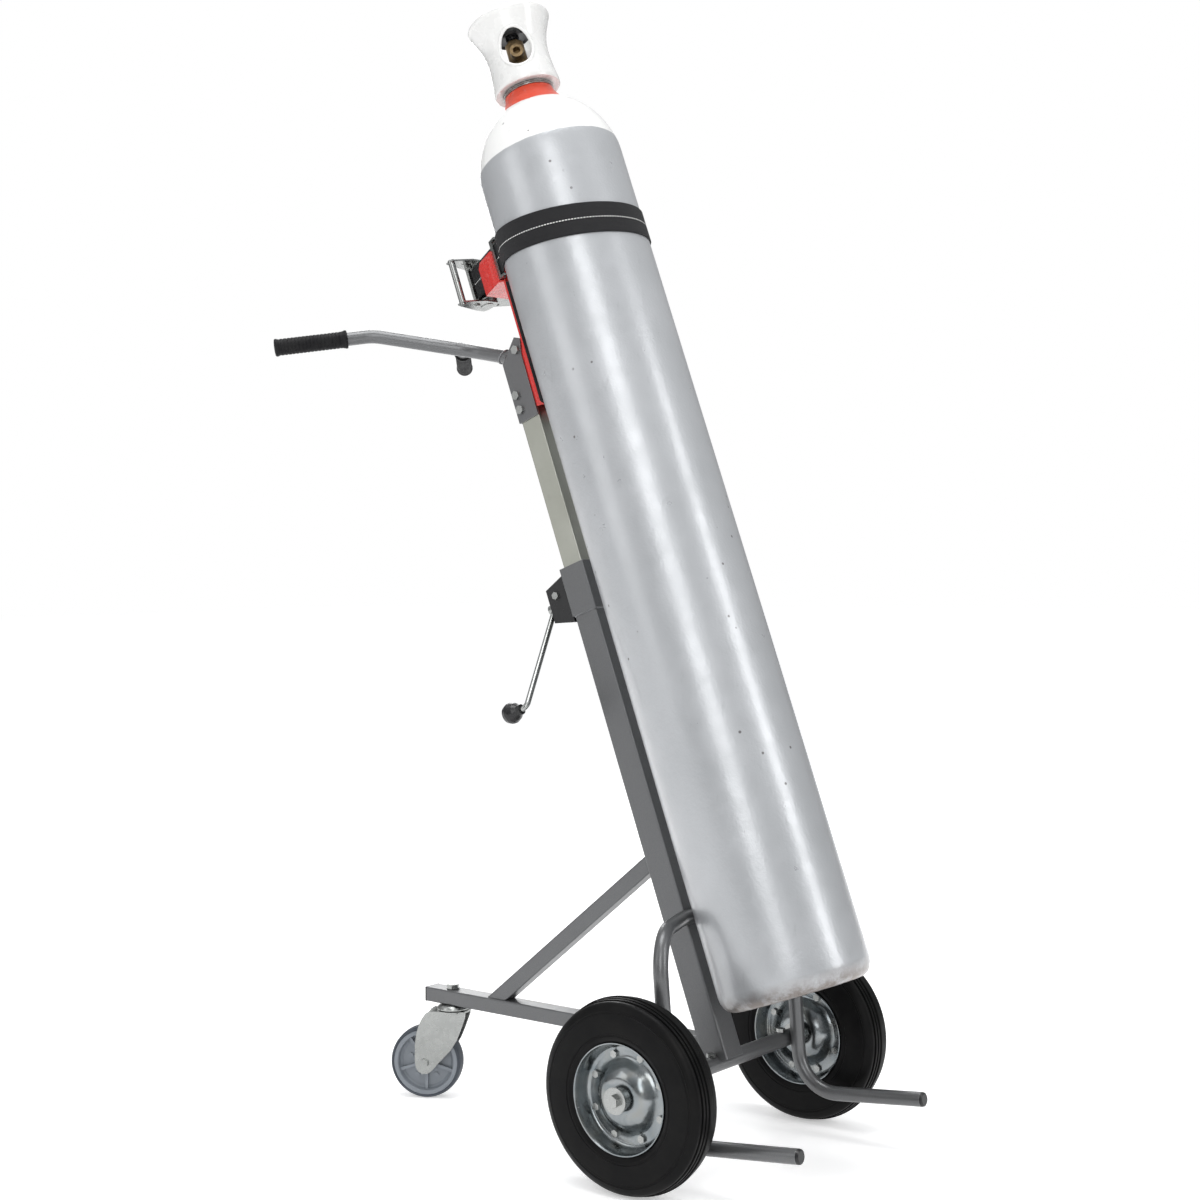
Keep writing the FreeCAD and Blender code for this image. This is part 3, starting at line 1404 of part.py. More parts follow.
def shell_profile(inset):
    """Half the cylinder's outline from its foot's middle to its neck, drawn in by inset."""
    radius = size("cylinder_dia") / 2 - inset
    foot, shoulder = size("cylinder_foot") + inset, size("shoulder_up")
    neck, neck_radius = size("neck_up"), size("neck_dia") / 2 - inset
    round_ = 30.0 - inset
    dome_mid = Vector(101.5 - inset * 0.84, 0, shoulder + 43.5 - inset * 0.54)
    dome_end = Vector(71.5 - inset * 0.68, 0, shoulder + 84.5 - inset * 0.73)
    hollow = Vector(50.0 - inset * 0.8, 0, neck - 21.5 - inset * 0.6)
    corner = Vector(radius, 0, foot + round_)
    lower = Vector(radius - round_, 0, foot)
    bend = Vector(radius - round_ * (1 - math.sqrt(0.5)), 0, foot + round_ * (1 - math.sqrt(0.5)))
    wires = [
        Part.LineSegment(Vector(0, 0, foot + 12), Vector(radius * 0.5, 0, foot + 6)).toShape(),
        Part.LineSegment(Vector(radius * 0.5, 0, foot + 6), lower).toShape(),
        Part.Arc(lower, bend, corner).toShape(),
        Part.LineSegment(corner, Vector(radius, 0, shoulder)).toShape(),
        Part.Arc(Vector(radius, 0, shoulder), dome_mid, dome_end).toShape(),
        Part.Arc(dome_end, hollow, Vector(neck_radius, 0, neck)).toShape(),
        Part.LineSegment(Vector(neck_radius, 0, neck), Vector(0, 0, neck)).toShape(),
        Part.LineSegment(Vector(0, 0, neck), Vector(0, 0, foot + 12)).toShape(),
    ]
    return Part.Face(Part.Wire(wires))


def make_gas_cylinder():
    outside = shell_profile(0.0).revolve(Vector(), Z, 360)
    inside = shell_profile(size("cylinder_wall")).revolve(Vector(), Z, 360)
    neck = size("neck_up")
    plug_ = Part.makeCylinder(60, 40, Vector(0, 0, neck - 22))
    hollow = inside.cut(plug_)
    bore = Part.makeCylinder(12.5, 60, Vector(0, 0, neck - 50))
    shell = outside.cut(hollow).cut(bore)
    node("gas_cylinder", solid("GasCylinder", shell), cylinder_place())
    ring = turned(
        "NeckRing",
        [
            ("14", "neck_up + 0.1"),
            ("neck_dia / 2 - 1", "neck_up + 0.1"),
            ("neck_dia / 2 + 2", "neck_up + 3"),
            ("neck_dia / 2 + 2", "guard_foot"),
            ("neck_dia / 2 - 4", "guard_foot + 2"),
            ("neck_dia / 2 - 4", "guard_foot + 14"),
            ("14", "guard_foot + 14"),
        ],
    )
    node("neck_ring", ring, cylinder_place())


def make_guard():
    """The screwed-on valve guard: a bell that widens to its rim, with two oval windows."""
    low, high = "guard_foot", "guard_top"
    thick = "4"
    guard = turned(
        "GuardBell",
        [
            ("neck_dia / 2 - 3.9", f"{low} + 2"),
            ("neck_dia / 2 + 2.1", low),
            ("neck_dia / 2 + 13", low),
            ("neck_dia / 2 + 13", f"{low} + 7"),
            ("neck_dia / 2 + 10", f"{low} + 22"),
            ("neck_dia / 2 + 12", f"{low} + 70"),
            ("neck_dia / 2 + 22", f"{high} - 24"),
            ("neck_dia / 2 + 26", f"{high} - 8"),
            ("neck_dia / 2 + 26", high),
            ("neck_dia / 2 + 20", high),
            ("neck_dia / 2 + 18", f"{high} - 22"),
            ("neck_dia / 2 + 8", f"{low} + 70"),
            ("neck_dia / 2 + 5.5", f"{low} + 22"),
            ("neck_dia / 2 + 4", f"{low} + 15"),
            ("neck_dia / 2 - 3.9", f"{low} + 15"),
        ],
    )
    windows = []
    for k, sign in enumerate((-1, 1)):
        low_end = cylinder(f"WindowLow{k}", "22", "90", (0, 0, size("valve_up") - 6), Rotation(Z, GUARD_OUT * sign))
        high_end = cylinder(f"WindowHigh{k}", "22", "90", (0, 0, size("valve_up") + 12), Rotation(Z, GUARD_OUT * sign))
        windows += [low_end, high_end]
    node("valve_guard", cut("ValveGuard", guard, *windows), cylinder_place())


GUARD_OUT = Vector(-0.8, -0.6, 0)


def make_valve():
    """A brass valve with a side outlet, and a handwheel on a spindle above it."""
    neck, up = size("neck_up"), size("valve_up")
    stem = cylinder("ValveStem", "12.4", "70", (0, 0, neck - 30))
    body = cylinder("ValveBody", "15", str(up + 20 - neck - 14), (0, 0, neck + 20))
    collar = hexagon("ValveHex", "16", "10", (0, 0, neck + 21))
    bonnet = hexagon("ValveBonnet", "11", "12", (0, 0, up + 18))
    spindle_hole = cylinder("SpindleHole", "4 + fit_gap", "30", (0, 0, up + 12))
    outlet_turn = Rotation(Z, GUARD_OUT)
    root = cylinder("ValveOutletRoot", "outlet_dia / 2 - 1.5", "32", (0, 0, up), outlet_turn)
    thread_at = tuple(GUARD_OUT * 20 + Vector(0, 0, up))
    thread = cylinder("ValveOutletThread", "outlet_dia / 2", "14", thread_at, outlet_turn)
    relief = hexagon("ReliefPlug", "7", "22", (0, 0, up + 2), Rotation(Z, GUARD_OUT * -1))
    mouth_at = tuple(GUARD_OUT * 20 + Vector(0, 0, up))
    mouth = cylinder("OutletMouth", "6", "20", mouth_at, outlet_turn)
    valve = cut("Valve", fuse("ValveSolid", stem, body, collar, bonnet, root, thread, relief), spindle_hole, mouth)
    node("valve_body", valve, cylinder_place())
    top = up + 31
    wheel = turned(
        "HandWheel",
        [
            ("4", "2"),
            ("10", "2"),
            ("11", "6"),
            ("22", "5"),
            ("26", "2"),
            ("30", "5"),
            ("30", "12"),
            ("26", "15"),
            ("21", "11"),
            ("9", "12"),
            ("8", "16"),
            ("4", "16"),
        ],
    )
    notches = []
    for k in range(6):
        angle = math.radians(60 * k)
        at = (31 * math.cos(angle), 31 * math.sin(angle), 0)
        notches.append(cylinder(f"WheelNotch{k}", "6", "20", at))
    rim = cut("NotchedWheel", wheel, *notches)
    spindle = cylinder("Spindle", "4", "34", (0, 0, -18))
    node("valve_handwheel", fuse("ValveHandwheel", rim, spindle), cylinder_place().multiply(place((0, 0, top))))


# ================================================================ build, check and write


def build():
    make_axle()
    make_lock_bolts()
    make_hoop()
    make_caps()
    make_mast()
    make_arm()
    make_brace()
    for side, sign in (("left", -1), ("right", 1)):
        make_wheel(side, sign)
    make_caster()
    make_crank()
    make_housing()
    make_screw()
    make_inner_tube()
    make_head()
    make_handlebar()
    make_cradle()
    make_strap_bracket()
    make_ratchet()
    make_strap()
    make_strap_guide()
    make_gas_cylinder()
    make_guard()
    make_valve()


def check():
    """Stops before anything is written if a feature failed or a sub-part isn't sound."""
    failed = [obj.Name for obj in doc.Objects if {"Invalid", "Error"} & set(obj.State)]
    for obj in nodes:
        shape = obj.Shape
        if shape.isNull() or not shape.isValid() or not shape.Solids:
            failed.append(obj.Label)
    if failed:
        raise RuntimeError("failed: " + ", ".join(failed))


def write():
    os.makedirs("parts", exist_ok=True)
    for obj in nodes:
        obj.Shape.exportStep(f"parts/{obj.Label}.step")


build()
doc.recompute()
check()
write()
whole = Part.makeCompound([obj.Shape for obj in nodes]).BoundBox
print(f"{len(nodes)} nodes, x {whole.XMin:.1f} {whole.XMax:.1f}, y {whole.YMin:.1f} {whole.YMax:.1f}, "
      f"z {whole.ZMin:.1f} {whole.ZMax:.1f}")
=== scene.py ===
"""Looks for the gas cylinder lifting trolley: materials, detailed pieces, light and camera."""
import json
import math

import bmesh
import bpy
from mathutils import Matrix, Vector

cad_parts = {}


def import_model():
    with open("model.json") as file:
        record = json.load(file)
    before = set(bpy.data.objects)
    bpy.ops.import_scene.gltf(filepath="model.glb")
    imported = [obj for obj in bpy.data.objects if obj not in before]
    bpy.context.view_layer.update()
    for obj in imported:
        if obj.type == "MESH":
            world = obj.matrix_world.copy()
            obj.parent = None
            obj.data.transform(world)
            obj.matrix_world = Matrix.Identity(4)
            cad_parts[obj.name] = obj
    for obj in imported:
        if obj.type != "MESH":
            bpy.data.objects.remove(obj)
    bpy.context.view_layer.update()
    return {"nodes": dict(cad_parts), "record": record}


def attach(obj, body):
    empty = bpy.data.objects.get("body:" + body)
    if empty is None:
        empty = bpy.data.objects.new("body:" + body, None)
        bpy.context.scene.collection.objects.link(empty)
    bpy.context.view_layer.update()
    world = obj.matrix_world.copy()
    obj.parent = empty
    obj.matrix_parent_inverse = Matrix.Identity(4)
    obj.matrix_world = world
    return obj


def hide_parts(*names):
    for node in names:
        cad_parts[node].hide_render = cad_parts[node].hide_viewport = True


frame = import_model()
nodes = frame["nodes"]

# Shapes and places are given in mm and multiplied by MM; the scene is in metres.
MM = 0.001
X_AXIS = Vector((1, 0, 0))
Y_AXIS = Vector((0, 1, 0))
Z_AXIS = Vector((0, 0, 1))

MID_Y = 234.7 * MM
AXLE_Z = 140
TRACK_HALF = 232.5

MAST_FOOT_Y = -2.5
TILT = math.radians(19.5)
MAST_ORIGIN = Vector((0, MAST_FOOT_Y * MM - MID_Y, AXLE_Z * MM))
MAST_BACK = Vector((0, math.cos(TILT), -math.sin(TILT)))
MAST_UP = Vector((0, math.sin(TILT), math.cos(TILT)))
MAST = Matrix.Translation(MAST_ORIGIN) @ Matrix((X_AXIS, MAST_BACK, MAST_UP)).transposed().to_4x4()

CYLINDER_Y = -163.5
CYLINDER_RADIUS = 114.5
CYLINDER = MAST @ Matrix.Translation((0, CYLINDER_Y * MM, 0))

STRAP_WIDTH = 50
STRAP_THICK = 2.6


def world(x, y, z):
    """A point in metres, from its mm from the floor under the axle."""
    return Vector((x * MM, y * MM - MID_Y, z * MM))


def on_mast(x, y, z):
    """A point in metres, from its mm in the mast's own axes."""
    return MAST @ (Vector((x, y, z)) * MM)


# ---------------------------------------------------------------- camera

# Angles in degrees, lens and sensor in mm, reach in metres.
CAMERA_AT = world(-2388.2, -1641.7, 885.7)
CAMERA_AZIMUTH = -55.49
CAMERA_YAW = 3.47
CAMERA_PITCH = -1.05
CAMERA_ROLL = -0.71
CAMERA_LENS = 58.23
CAMERA_SENSOR = 36
CAMERA_REACH = 60


def make_camera():
    """The camera, level at first, then turned by its pitch and roll."""
    heading = math.radians(CAMERA_AZIMUTH + CAMERA_YAW)
    level = Vector((-math.sin(heading), math.cos(heading), 0))
    pitch, roll = math.radians(CAMERA_PITCH), math.radians(CAMERA_ROLL)
    forward = level * math.cos(pitch) + Z_AXIS * math.sin(pitch)
    right = level.cross(Z_AXIS)
    up = right.cross(forward)
    right_rolled = right * math.cos(roll) + up * math.sin(roll)
    up_rolled = up * math.cos(roll) - right * math.sin(roll)
    data = bpy.data.cameras.new("Camera")
    data.lens = CAMERA_LENS
    data.sensor_width = CAMERA_SENSOR
    data.clip_end = CAMERA_REACH
    camera = bpy.data.objects.new("Camera", data)
    turn = Matrix((right_rolled, up_rolled, -forward)).transposed().to_4x4()
    camera.matrix_world = Matrix.Translation(CAMERA_AT) @ turn
    bpy.context.scene.collection.objects.link(camera)
    bpy.context.scene.camera = camera


# ---------------------------------------------------------------- node materials

# Distances inside materials are in metres, and a noise scale is for each metre.
BEVEL_SAMPLES = 4
FLAT_COSINE = 0.985
EDGE_COSINE = 0.90


class Surface:
    """A principled material and short calls for the nodes that feed it."""

    def __init__(self, name, color, roughness, metallic=0.0, **sockets):
        self.material = bpy.data.materials.new(name)
        self.material.use_nodes = True
        self.tree = self.material.node_tree
        self.shader = self.tree.nodes["Principled BSDF"]
        self.shader.inputs["Base Color"].default_value = (*color, 1)
        self.shader.inputs["Roughness"].default_value = roughness
        self.shader.inputs["Metallic"].default_value = metallic
        for socket, value in sockets.items():
            self.shader.inputs[socket.replace("_", " ")].default_value = value
        self.coords = self.node("ShaderNodeTexCoord").outputs["Object"]
        self.last_normal = None

    def node(self, kind, **settings):
        made = self.tree.nodes.new(kind)
        for key, value in settings.items():
            setattr(made, key, value)
        return made

    def link(self, out, into):
        self.tree.links.new(out, into)

    def stretched(self, scale):
        """The coordinates scaled along each axis."""
        mapping = self.node("ShaderNodeMapping")
        mapping.inputs["Scale"].default_value = scale
        self.link(self.coords, mapping.inputs["Vector"])
        return mapping.outputs["Vector"]

    def noise(self, scale, detail=3.0, rough=0.55, vector=None, distortion=0.0):
        made = self.node("ShaderNodeTexNoise")
        made.inputs["Scale"].default_value = scale
        made.inputs["Detail"].default_value = detail
        made.inputs["Roughness"].default_value = rough
        made.inputs["Distortion"].default_value = distortion
        self.link(vector or self.coords, made.inputs["Vector"])
        return made.outputs["Fac"]

    def cells(self, scale):
        made = self.node("ShaderNodeTexVoronoi", feature="F1")
        made.inputs["Scale"].default_value = scale
        self.link(self.coords, made.inputs["Vector"])
        return made.outputs["Distance"]

    def ramp(self, value, low, high, start=0.0, end=1.0):
        """Goes from start to end while the value goes from low to high."""
        made = self.node("ShaderNodeMapRange")
        made.inputs["From Min"].default_value = low
        made.inputs["From Max"].default_value = high
        made.inputs["To Min"].default_value = start
        made.inputs["To Max"].default_value = end
        self.link(value, made.inputs["Value"])
        return made.outputs["Result"]

    def math(self, operation, a, b=None):
        """A maths node; each input is a number or an output."""
        made = self.node("ShaderNodeMath", operation=operation)
        for socket, value in zip(made.inputs, (a, b)):
            if value is None:
                continue
            if isinstance(value, (int, float)):
                socket.default_value = value
            else:
                self.link(value, socket)
        return made.outputs["Value"]

    def times(self, a, b):
        return self.math("MULTIPLY", a, b)

    def mix(self, amount, a, b):
        """Colour a where amount is 0, colour b where it is 1; each a colour or an output."""
        made = self.node("ShaderNodeMix", data_type="RGBA")
        self.link(amount, made.inputs["Factor"])
        for socket, value in ((made.inputs[6], a), (made.inputs[7], b)):
            if isinstance(value, tuple):
                socket.default_value = (*value, 1)
            else:
                self.link(value, socket)
        return made.outputs[2]

    def along(self, direction, origin=Vector()):
        """How far a point lies along a direction from an origin, in metres."""
        moved = self.node("ShaderNodeVectorMath", operation="SUBTRACT")
        moved.inputs[1].default_value = origin
        self.link(self.coords, moved.inputs[0])
        made = self.node("ShaderNodeVectorMath", operation="DOT_PRODUCT")
        made.inputs[1].default_value = direction
        self.link(moved.outputs["Vector"], made.inputs[0])
        return made.outputs["Value"]

    def color(self, output):
        self.link(output, self.shader.inputs["Base Color"])
        return self

    def roughness(self, output):
        self.link(output, self.shader.inputs["Roughness"])
        return self

    def metallic(self, output):
        self.link(output, self.shader.inputs["Metallic"])
        return self

    def bump(self, height, distance, strength=1.0):
        made = self.node("ShaderNodeBump")
        made.inputs["Distance"].default_value = distance
        made.inputs["Strength"].default_value = strength
        self.link(height, made.inputs["Height"])
        if self.last_normal is not None:
            self.link(self.last_normal, made.inputs["Normal"])
        self.last_normal = made.outputs["Normal"]
        self.link(self.last_normal, self.shader.inputs["Normal"])
        return self

    def round_edges(self, radius):
        """Shades the edges as if they were rounded, and gives 1 on them and 0 elsewhere."""
        bevel = self.node("ShaderNodeBevel", samples=BEVEL_SAMPLES)
        bevel.inputs["Radius"].default_value = radius
        self.last_normal = bevel.outputs["Normal"]
        self.link(self.last_normal, self.shader.inputs["Normal"])
        turned = self.node("ShaderNodeVectorMath", operation="DOT_PRODUCT")
        self.link(bevel.outputs["Normal"], turned.inputs[0])
        self.link(self.node("ShaderNodeNewGeometry").outputs["Normal"], turned.inputs[1])
        return self.ramp(turned.outputs["Value"], FLAT_COSINE, EDGE_COSINE)


# Heights in metres: dust over the floor, the rest up along the mast.
DUST_FADES = (0.2, 0.03)
WHITE_STARTS = (1.4100, 1.4110)
NECK_RED_STARTS = (1.4945, 1.4955)
FOOT_DIRT_GROWS = (0.094, 0.068)
PAINT_RAGGED = 0.0015

CYLINDER_METALLIC = 0.35


def frame_paint():
    """Silver-grey metallic powder coat: even colour, fine grain, bright worn edges, some dust low down."""
    s = Surface("frame_paint", (0.10, 0.102, 0.105), 0.4, 0.55, Coat_Weight=0.15, Coat_Roughness=0.25)
    shade = s.ramp(s.noise(1.6, 2), 0.3, 0.7)
    flake = s.ramp(s.noise(2200, 2), 0.46, 0.66)
    base = s.mix(shade, (0.104, 0.106, 0.109), (0.114, 0.116, 0.119))
    base = s.mix(s.times(flake, 0.18), base, (0.34, 0.35, 0.36))
    dust = s.times(s.ramp(s.along(Z_AXIS), *DUST_FADES), s.ramp(s.noise(26, 5), 0.4, 0.75))
    base = s.mix(s.times(dust, 0.12), base, (0.13, 0.12, 0.105))
    worn = s.times(s.round_edges(0.0012), s.ramp(s.noise(60, 4), 0.35, 0.6, 0.3, 1.0))
    s.color(s.mix(s.times(worn, 0.5), base, (0.42, 0.42, 0.43)))
    s.roughness(s.ramp(s.noise(30, 3), 0.3, 0.7, 0.30, 0.36))
    return s.bump(s.noise(1100, 2), 0.00004, 0.5).material


def zinc(name, low, high, rough=(0.2, 0.36)):
    """Zinc plate: blotchy, between two tints, with fine drawing lines and stains."""
    s = Surface(name, low, 0.28, 1.0)
    blotch = s.ramp(s.noise(9, 3, 0.5, distortion=0.4), 0.25, 0.75)
    stain = s.ramp(s.noise(60, 5, 0.7), 0.60, 0.78)
    base = s.mix(blotch, low, high)
    s.color(s.mix(s.times(stain, 0.22), base, tuple(c * 0.6 for c in low)))
    s.roughness(s.ramp(s.noise(90, 4), 0.3, 0.7, *rough))
    grain = s.noise(260, 3, vector=s.stretched((1, 1, 0.12)))
    return s.bump(grain, 0.00006, 0.6).material


def rim_plate():
    """Rims: zinc plate that turns from blue to straw yellow in soft patches."""
    s = Surface("rim_plate", (0.55, 0.60, 0.68), 0.3, 1.0)
    patch = s.ramp(s.noise(16, 3, distortion=1.2), 0.35, 0.65)
    straw = s.ramp(s.noise(34, 4, distortion=0.8), 0.50, 0.70)
    base = s.mix(patch, (0.175, 0.198, 0.21), (0.27, 0.285, 0.29))
    base = s.mix(s.times(straw, 0.35), base, (0.285, 0.273, 0.232))
    dirt = s.ramp(s.noise(120, 5, 0.7), 0.58, 0.75)
    s.color(s.mix(s.times(dirt, 0.22), base, (0.22, 0.21, 0.20)))
    s.roughness(s.ramp(s.noise(60, 4), 0.3, 0.7, 0.17, 0.28))
    return s.bump(s.noise(300, 3), 0.00008, 0.5).material


def rubber(name, dark, light, rough):
    """Matt rubber: a fine grain and dusty patches."""
    s = Surface(name, dark, rough, 0.0, Specular_IOR_Level=0.1)
    dusty = s.ramp(s.noise(28, 5, 0.65), 0.38, 0.72)
    s.color(s.mix(dusty, dark, light))
    s.roughness(s.ramp(s.noise(55, 4), 0.3, 0.7, rough - 0.08, rough + 0.1))
    return s.bump(s.noise(700, 3), 0.00015, 0.5).material


def plastic(name, dark, light, rough):
    """Moulded plastic: fine spark texture and a few light scuffs."""
    s = Surface(name, dark, rough, 0.0, Specular_IOR_Level=0.45)
    scuff = s.ramp(s.noise(48, 6, 0.7, vector=s.stretched((1, 3, 1))), 0.6, 0.78)
    s.color(s.mix(s.times(scuff, 0.6), dark, light))
    s.roughness(s.ramp(s.noise(70, 3), 0.3, 0.7, rough - 0.05, rough + 0.1))
    return s.bump(s.cells(1500), 0.00006, 0.5).material


def gloss_paint(name, main, shade):
    """Sprayed gloss paint: orange peel, slight shade changes and chipped edges."""
    s = Surface(name, main, 0.25, 0.0, Coat_Weight=0.5, Coat_Roughness=0.08)
    base = s.mix(s.ramp(s.noise(14, 4), 0.3, 0.7), main, shade)
    worn = s.times(s.round_edges(0.0006), s.ramp(s.noise(180, 5), 0.52, 0.6))
    s.color(s.mix(s.times(worn, 0.5), base, (0.16, 0.14, 0.13)))
    s.roughness(s.ramp(s.noise(50, 4), 0.3, 0.7, 0.2, 0.34))
    return s.bump(s.noise(420, 2), 0.00012, 0.35).material


def cylinder_paint():
    """Worn light grey gloss with a white shoulder and red neck, scuffs and chips, and a dirty lower edge."""
    s = Surface(
        "cylinder_paint", (0.40, 0.41, 0.43), 0.34, CYLINDER_METALLIC, Coat_Weight=0.35, Coat_Roughness=0.16
    )
    height = s.along(MAST_UP, MAST_ORIGIN)
    ragged = s.math("ADD", height, s.ramp(s.noise(60, 3), 0, 1, -PAINT_RAGGED, PAINT_RAGGED))
    grey = s.mix(s.ramp(s.noise(5, 4), 0.3, 0.7), (0.37, 0.382, 0.396), (0.425, 0.436, 0.452))
    base = s.mix(s.ramp(ragged, *WHITE_STARTS), grey, (0.72, 0.72, 0.71))
    base = s.mix(s.ramp(ragged, *NECK_RED_STARTS), base, (0.60, 0.055, 0.022))
    scuff = s.noise(26, 6, 0.75, vector=s.stretched((3, 3, 0.5)))
    base = s.mix(s.ramp(scuff, 0.60, 0.80, 0.0, 0.4), base, (0.24, 0.25, 0.26))
    chip = s.times(s.ramp(s.cells(34), 0.09, 0.06), s.ramp(s.noise(7, 2), 0.56, 0.6))
    base = s.mix(s.times(chip, 0.85), base, (0.09, 0.08, 0.08))
    low = s.times(s.ramp(height, *FOOT_DIRT_GROWS), s.ramp(s.noise(42, 6, 0.7), 0.3, 0.56))
    base = s.mix(s.times(low, 0.9), base, (0.10, 0.065, 0.042))
    s.color(base)
    s.metallic(s.ramp(height, *WHITE_STARTS, CYLINDER_METALLIC, 0.0))
    s.roughness(s.ramp(s.noise(30, 5, 0.65), 0.3, 0.75, 0.27, 0.42))
    s.bump(s.noise(230, 2), 0.0006, 0.5)
    s.bump(s.noise(60, 3), 0.0012, 0.3)
    return s.bump(s.math("SUBTRACT", 1.0, chip), 0.0003, 0.4).material


# Widths in mm. Turns in radians: of the ribs for each mm, of the others for each metre.
MM_PER_METRE = 1000.0
HERRINGBONE = 4.0
THREAD_HALF = 0.8
RIB_TURNS = 3.6
WARP_TURNS = 5200.0
STITCH_TURNS = 1350.0
STITCH_GAP_BELOW = -0.05


def webbing_weave():
    """Strap webbing: small herringbone ribs and a dotted white thread along the middle."""
    s = Surface("webbing_weave", (0.01, 0.01, 0.011), 0.7, 0.0, Specular_IOR_Level=0.2, Sheen_Weight=0.03)
    uv = s.node("ShaderNodeUVMap", uv_map="weave").outputs["UV"]
    parts = s.node("ShaderNodeSeparateXYZ")
    s.link(uv, parts.inputs["Vector"])
    run, across = parts.outputs["X"], parts.outputs["Y"]
    fold = s.math("PINGPONG", s.times(across, MM_PER_METRE), HERRINGBONE)
    slant = s.math("ADD", s.times(run, MM_PER_METRE), fold)
    ribs = s.math("SINE", s.times(slant, RIB_TURNS))
    warp = s.math("SINE", s.times(across, WARP_TURNS))
    weave = s.math("ADD", s.times(ribs, 0.6), s.times(warp, 0.4))
    tone = s.mix(s.ramp(weave, -1, 1), (0.003, 0.003, 0.0035), (0.019, 0.019, 0.021))
    middle = s.math("COMPARE", across, STRAP_WIDTH / 2 * MM)
    middle.node.inputs[2].default_value = THREAD_HALF * MM
    stitch = s.math("GREATER_THAN", s.math("SINE", s.times(run, STITCH_TURNS)), STITCH_GAP_BELOW)
    thread = s.times(middle, stitch)
    s.color(s.mix(thread, tone, (0.85, 0.85, 0.83)))
    s.bump(weave, 0.0003, 0.8)
    return s.bump(thread, 0.0003, 0.8).material


def turned_metal(name, low, high, rough):
    """Turned or cast metal with fine tool marks."""
    s = Surface(name, low, rough, 1.0)
    s.color(s.mix(s.ramp(s.noise(60, 5, 0.6), 0.35, 0.65), low, high))
    s.roughness(s.ramp(s.noise(200, 3), 0.3, 0.7, rough - 0.06, rough + 0.12))
    return s.bump(s.noise(500, 2), 0.00005, 0.5).material


def weld_metal():
    """Painted weld beads: the frame's paint over ripples."""
    s = Surface("weld_bead", (0.16, 0.163, 0.168), 0.4, 0.5, Coat_Weight=0.2, Coat_Roughness=0.25)
    s.color(s.mix(s.ramp(s.noise(50, 4), 0.35, 0.65), (0.13, 0.133, 0.138), (0.19, 0.193, 0.2)))
    return s.bump(s.noise(260, 3), 0.0005, 0.7).material


FRAME_PAINT = frame_paint()
WELD = weld_metal()
ZINC = zinc("bright_zinc", (0.28, 0.288, 0.28), (0.38, 0.388, 0.38))
TUBE_ZINC = zinc("tube_zinc", (0.31, 0.315, 0.275), (0.38, 0.385, 0.345), (0.3, 0.4))
RIM = rim_plate()
STEEL = turned_metal("machined_steel", (0.42, 0.42, 0.43), (0.56, 0.56, 0.57), 0.3)
BRONZE = turned_metal("bearing_bronze", (0.45, 0.31, 0.15), (0.58, 0.42, 0.22), 0.38)
BRASS = turned_metal("valve_brass", (0.09, 0.065, 0.038), (0.27, 0.19, 0.10), 0.4)
TYRE = rubber("tyre_black", (0.003, 0.003, 0.0033), (0.006, 0.0058, 0.0056), 0.4)
GRIP = rubber("grip_black", (0.010, 0.010, 0.011), (0.022, 0.022, 0.022), 0.5)
PAD_RUBBER = rubber("pad_black", (0.010, 0.010, 0.011), (0.026, 0.026, 0.027), 0.62)
CASTER_TYRE = rubber("caster_tyre_grey", (0.055, 0.063, 0.075), (0.085, 0.095, 0.11), 0.5)
CASTER_CORE = plastic("caster_core_grey", (0.20, 0.22, 0.245), (0.27, 0.29, 0.31), 0.4)
BLACK = plastic("black_plastic", (0.007, 0.007, 0.008), (0.025, 0.025, 0.025), 0.3)
RED = gloss_paint("cradle_red", (0.62, 0.022, 0.016), (0.50, 0.016, 0.012))
NECK_RED = gloss_paint("neck_red", (0.62, 0.07, 0.03), (0.48, 0.05, 0.03))
GUARD_WHITE = gloss_paint("guard_white", (0.69, 0.69, 0.68), (0.62, 0.62, 0.61))
CYLINDER_PAINT = cylinder_paint()
WEBBING = webbing_weave()

BY_SLOT = {
    "frame_grey": FRAME_PAINT,
    "zinc": ZINC,
    "rim_zinc": RIM,
    "machined_steel": STEEL,
    "bearing_bronze": BRONZE,
    "black_plastic": BLACK,
    "grip_rubber": GRIP,
    "tyre_rubber": TYRE,
    "caster_rubber": CASTER_TYRE,
    "caster_grey": CASTER_CORE,
    "red_paint": RED,
    "webbing": WEBBING,
    "cylinder_grey": CYLINDER_PAINT,
    "guard_white": GUARD_WHITE,
    "neck_red": NECK_RED,
    "brass": BRASS,
}


def dress_nodes():
    """Gives every CAD node its material from its slot in the record."""
    for part in frame["record"]["subparts"]:
        mesh = nodes[part["node"]].data
        mesh.materials.clear()
        mesh.materials.append(BY_SLOT[part["material_slot"]])
    for name, material in (("mast_inner_tube", TUBE_ZINC), ("cradle_pad", PAD_RUBBER)):
        nodes[name].data.materials[0] = material


# ---------------------------------------------------------------- mesh helpers

SAME_POINT = 1e-6


def finish_mesh(name, bm, material, body, matrix=None, smooth=35.0):
    """Turns a bmesh into a named piece that rides on a body; edges over smooth degrees stay sharp."""
    bmesh.ops.remove_doubles(bm, verts=bm.verts, dist=SAME_POINT)
    bmesh.ops.recalc_face_normals(bm, faces=bm.faces)
    mesh = bpy.data.meshes.new(name)
    bm.to_mesh(mesh)
    bm.free()
    if matrix is not None:
        mesh.transform(matrix)
    mesh.materials.append(material)
    for face in mesh.polygons:
        face.use_smooth = True
    mesh.set_sharp_from_angle(angle=math.radians(smooth))
    piece = bpy.data.objects.new(name, mesh)
    bpy.context.scene.collection.objects.link(piece)
    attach(piece, body)
    return piece


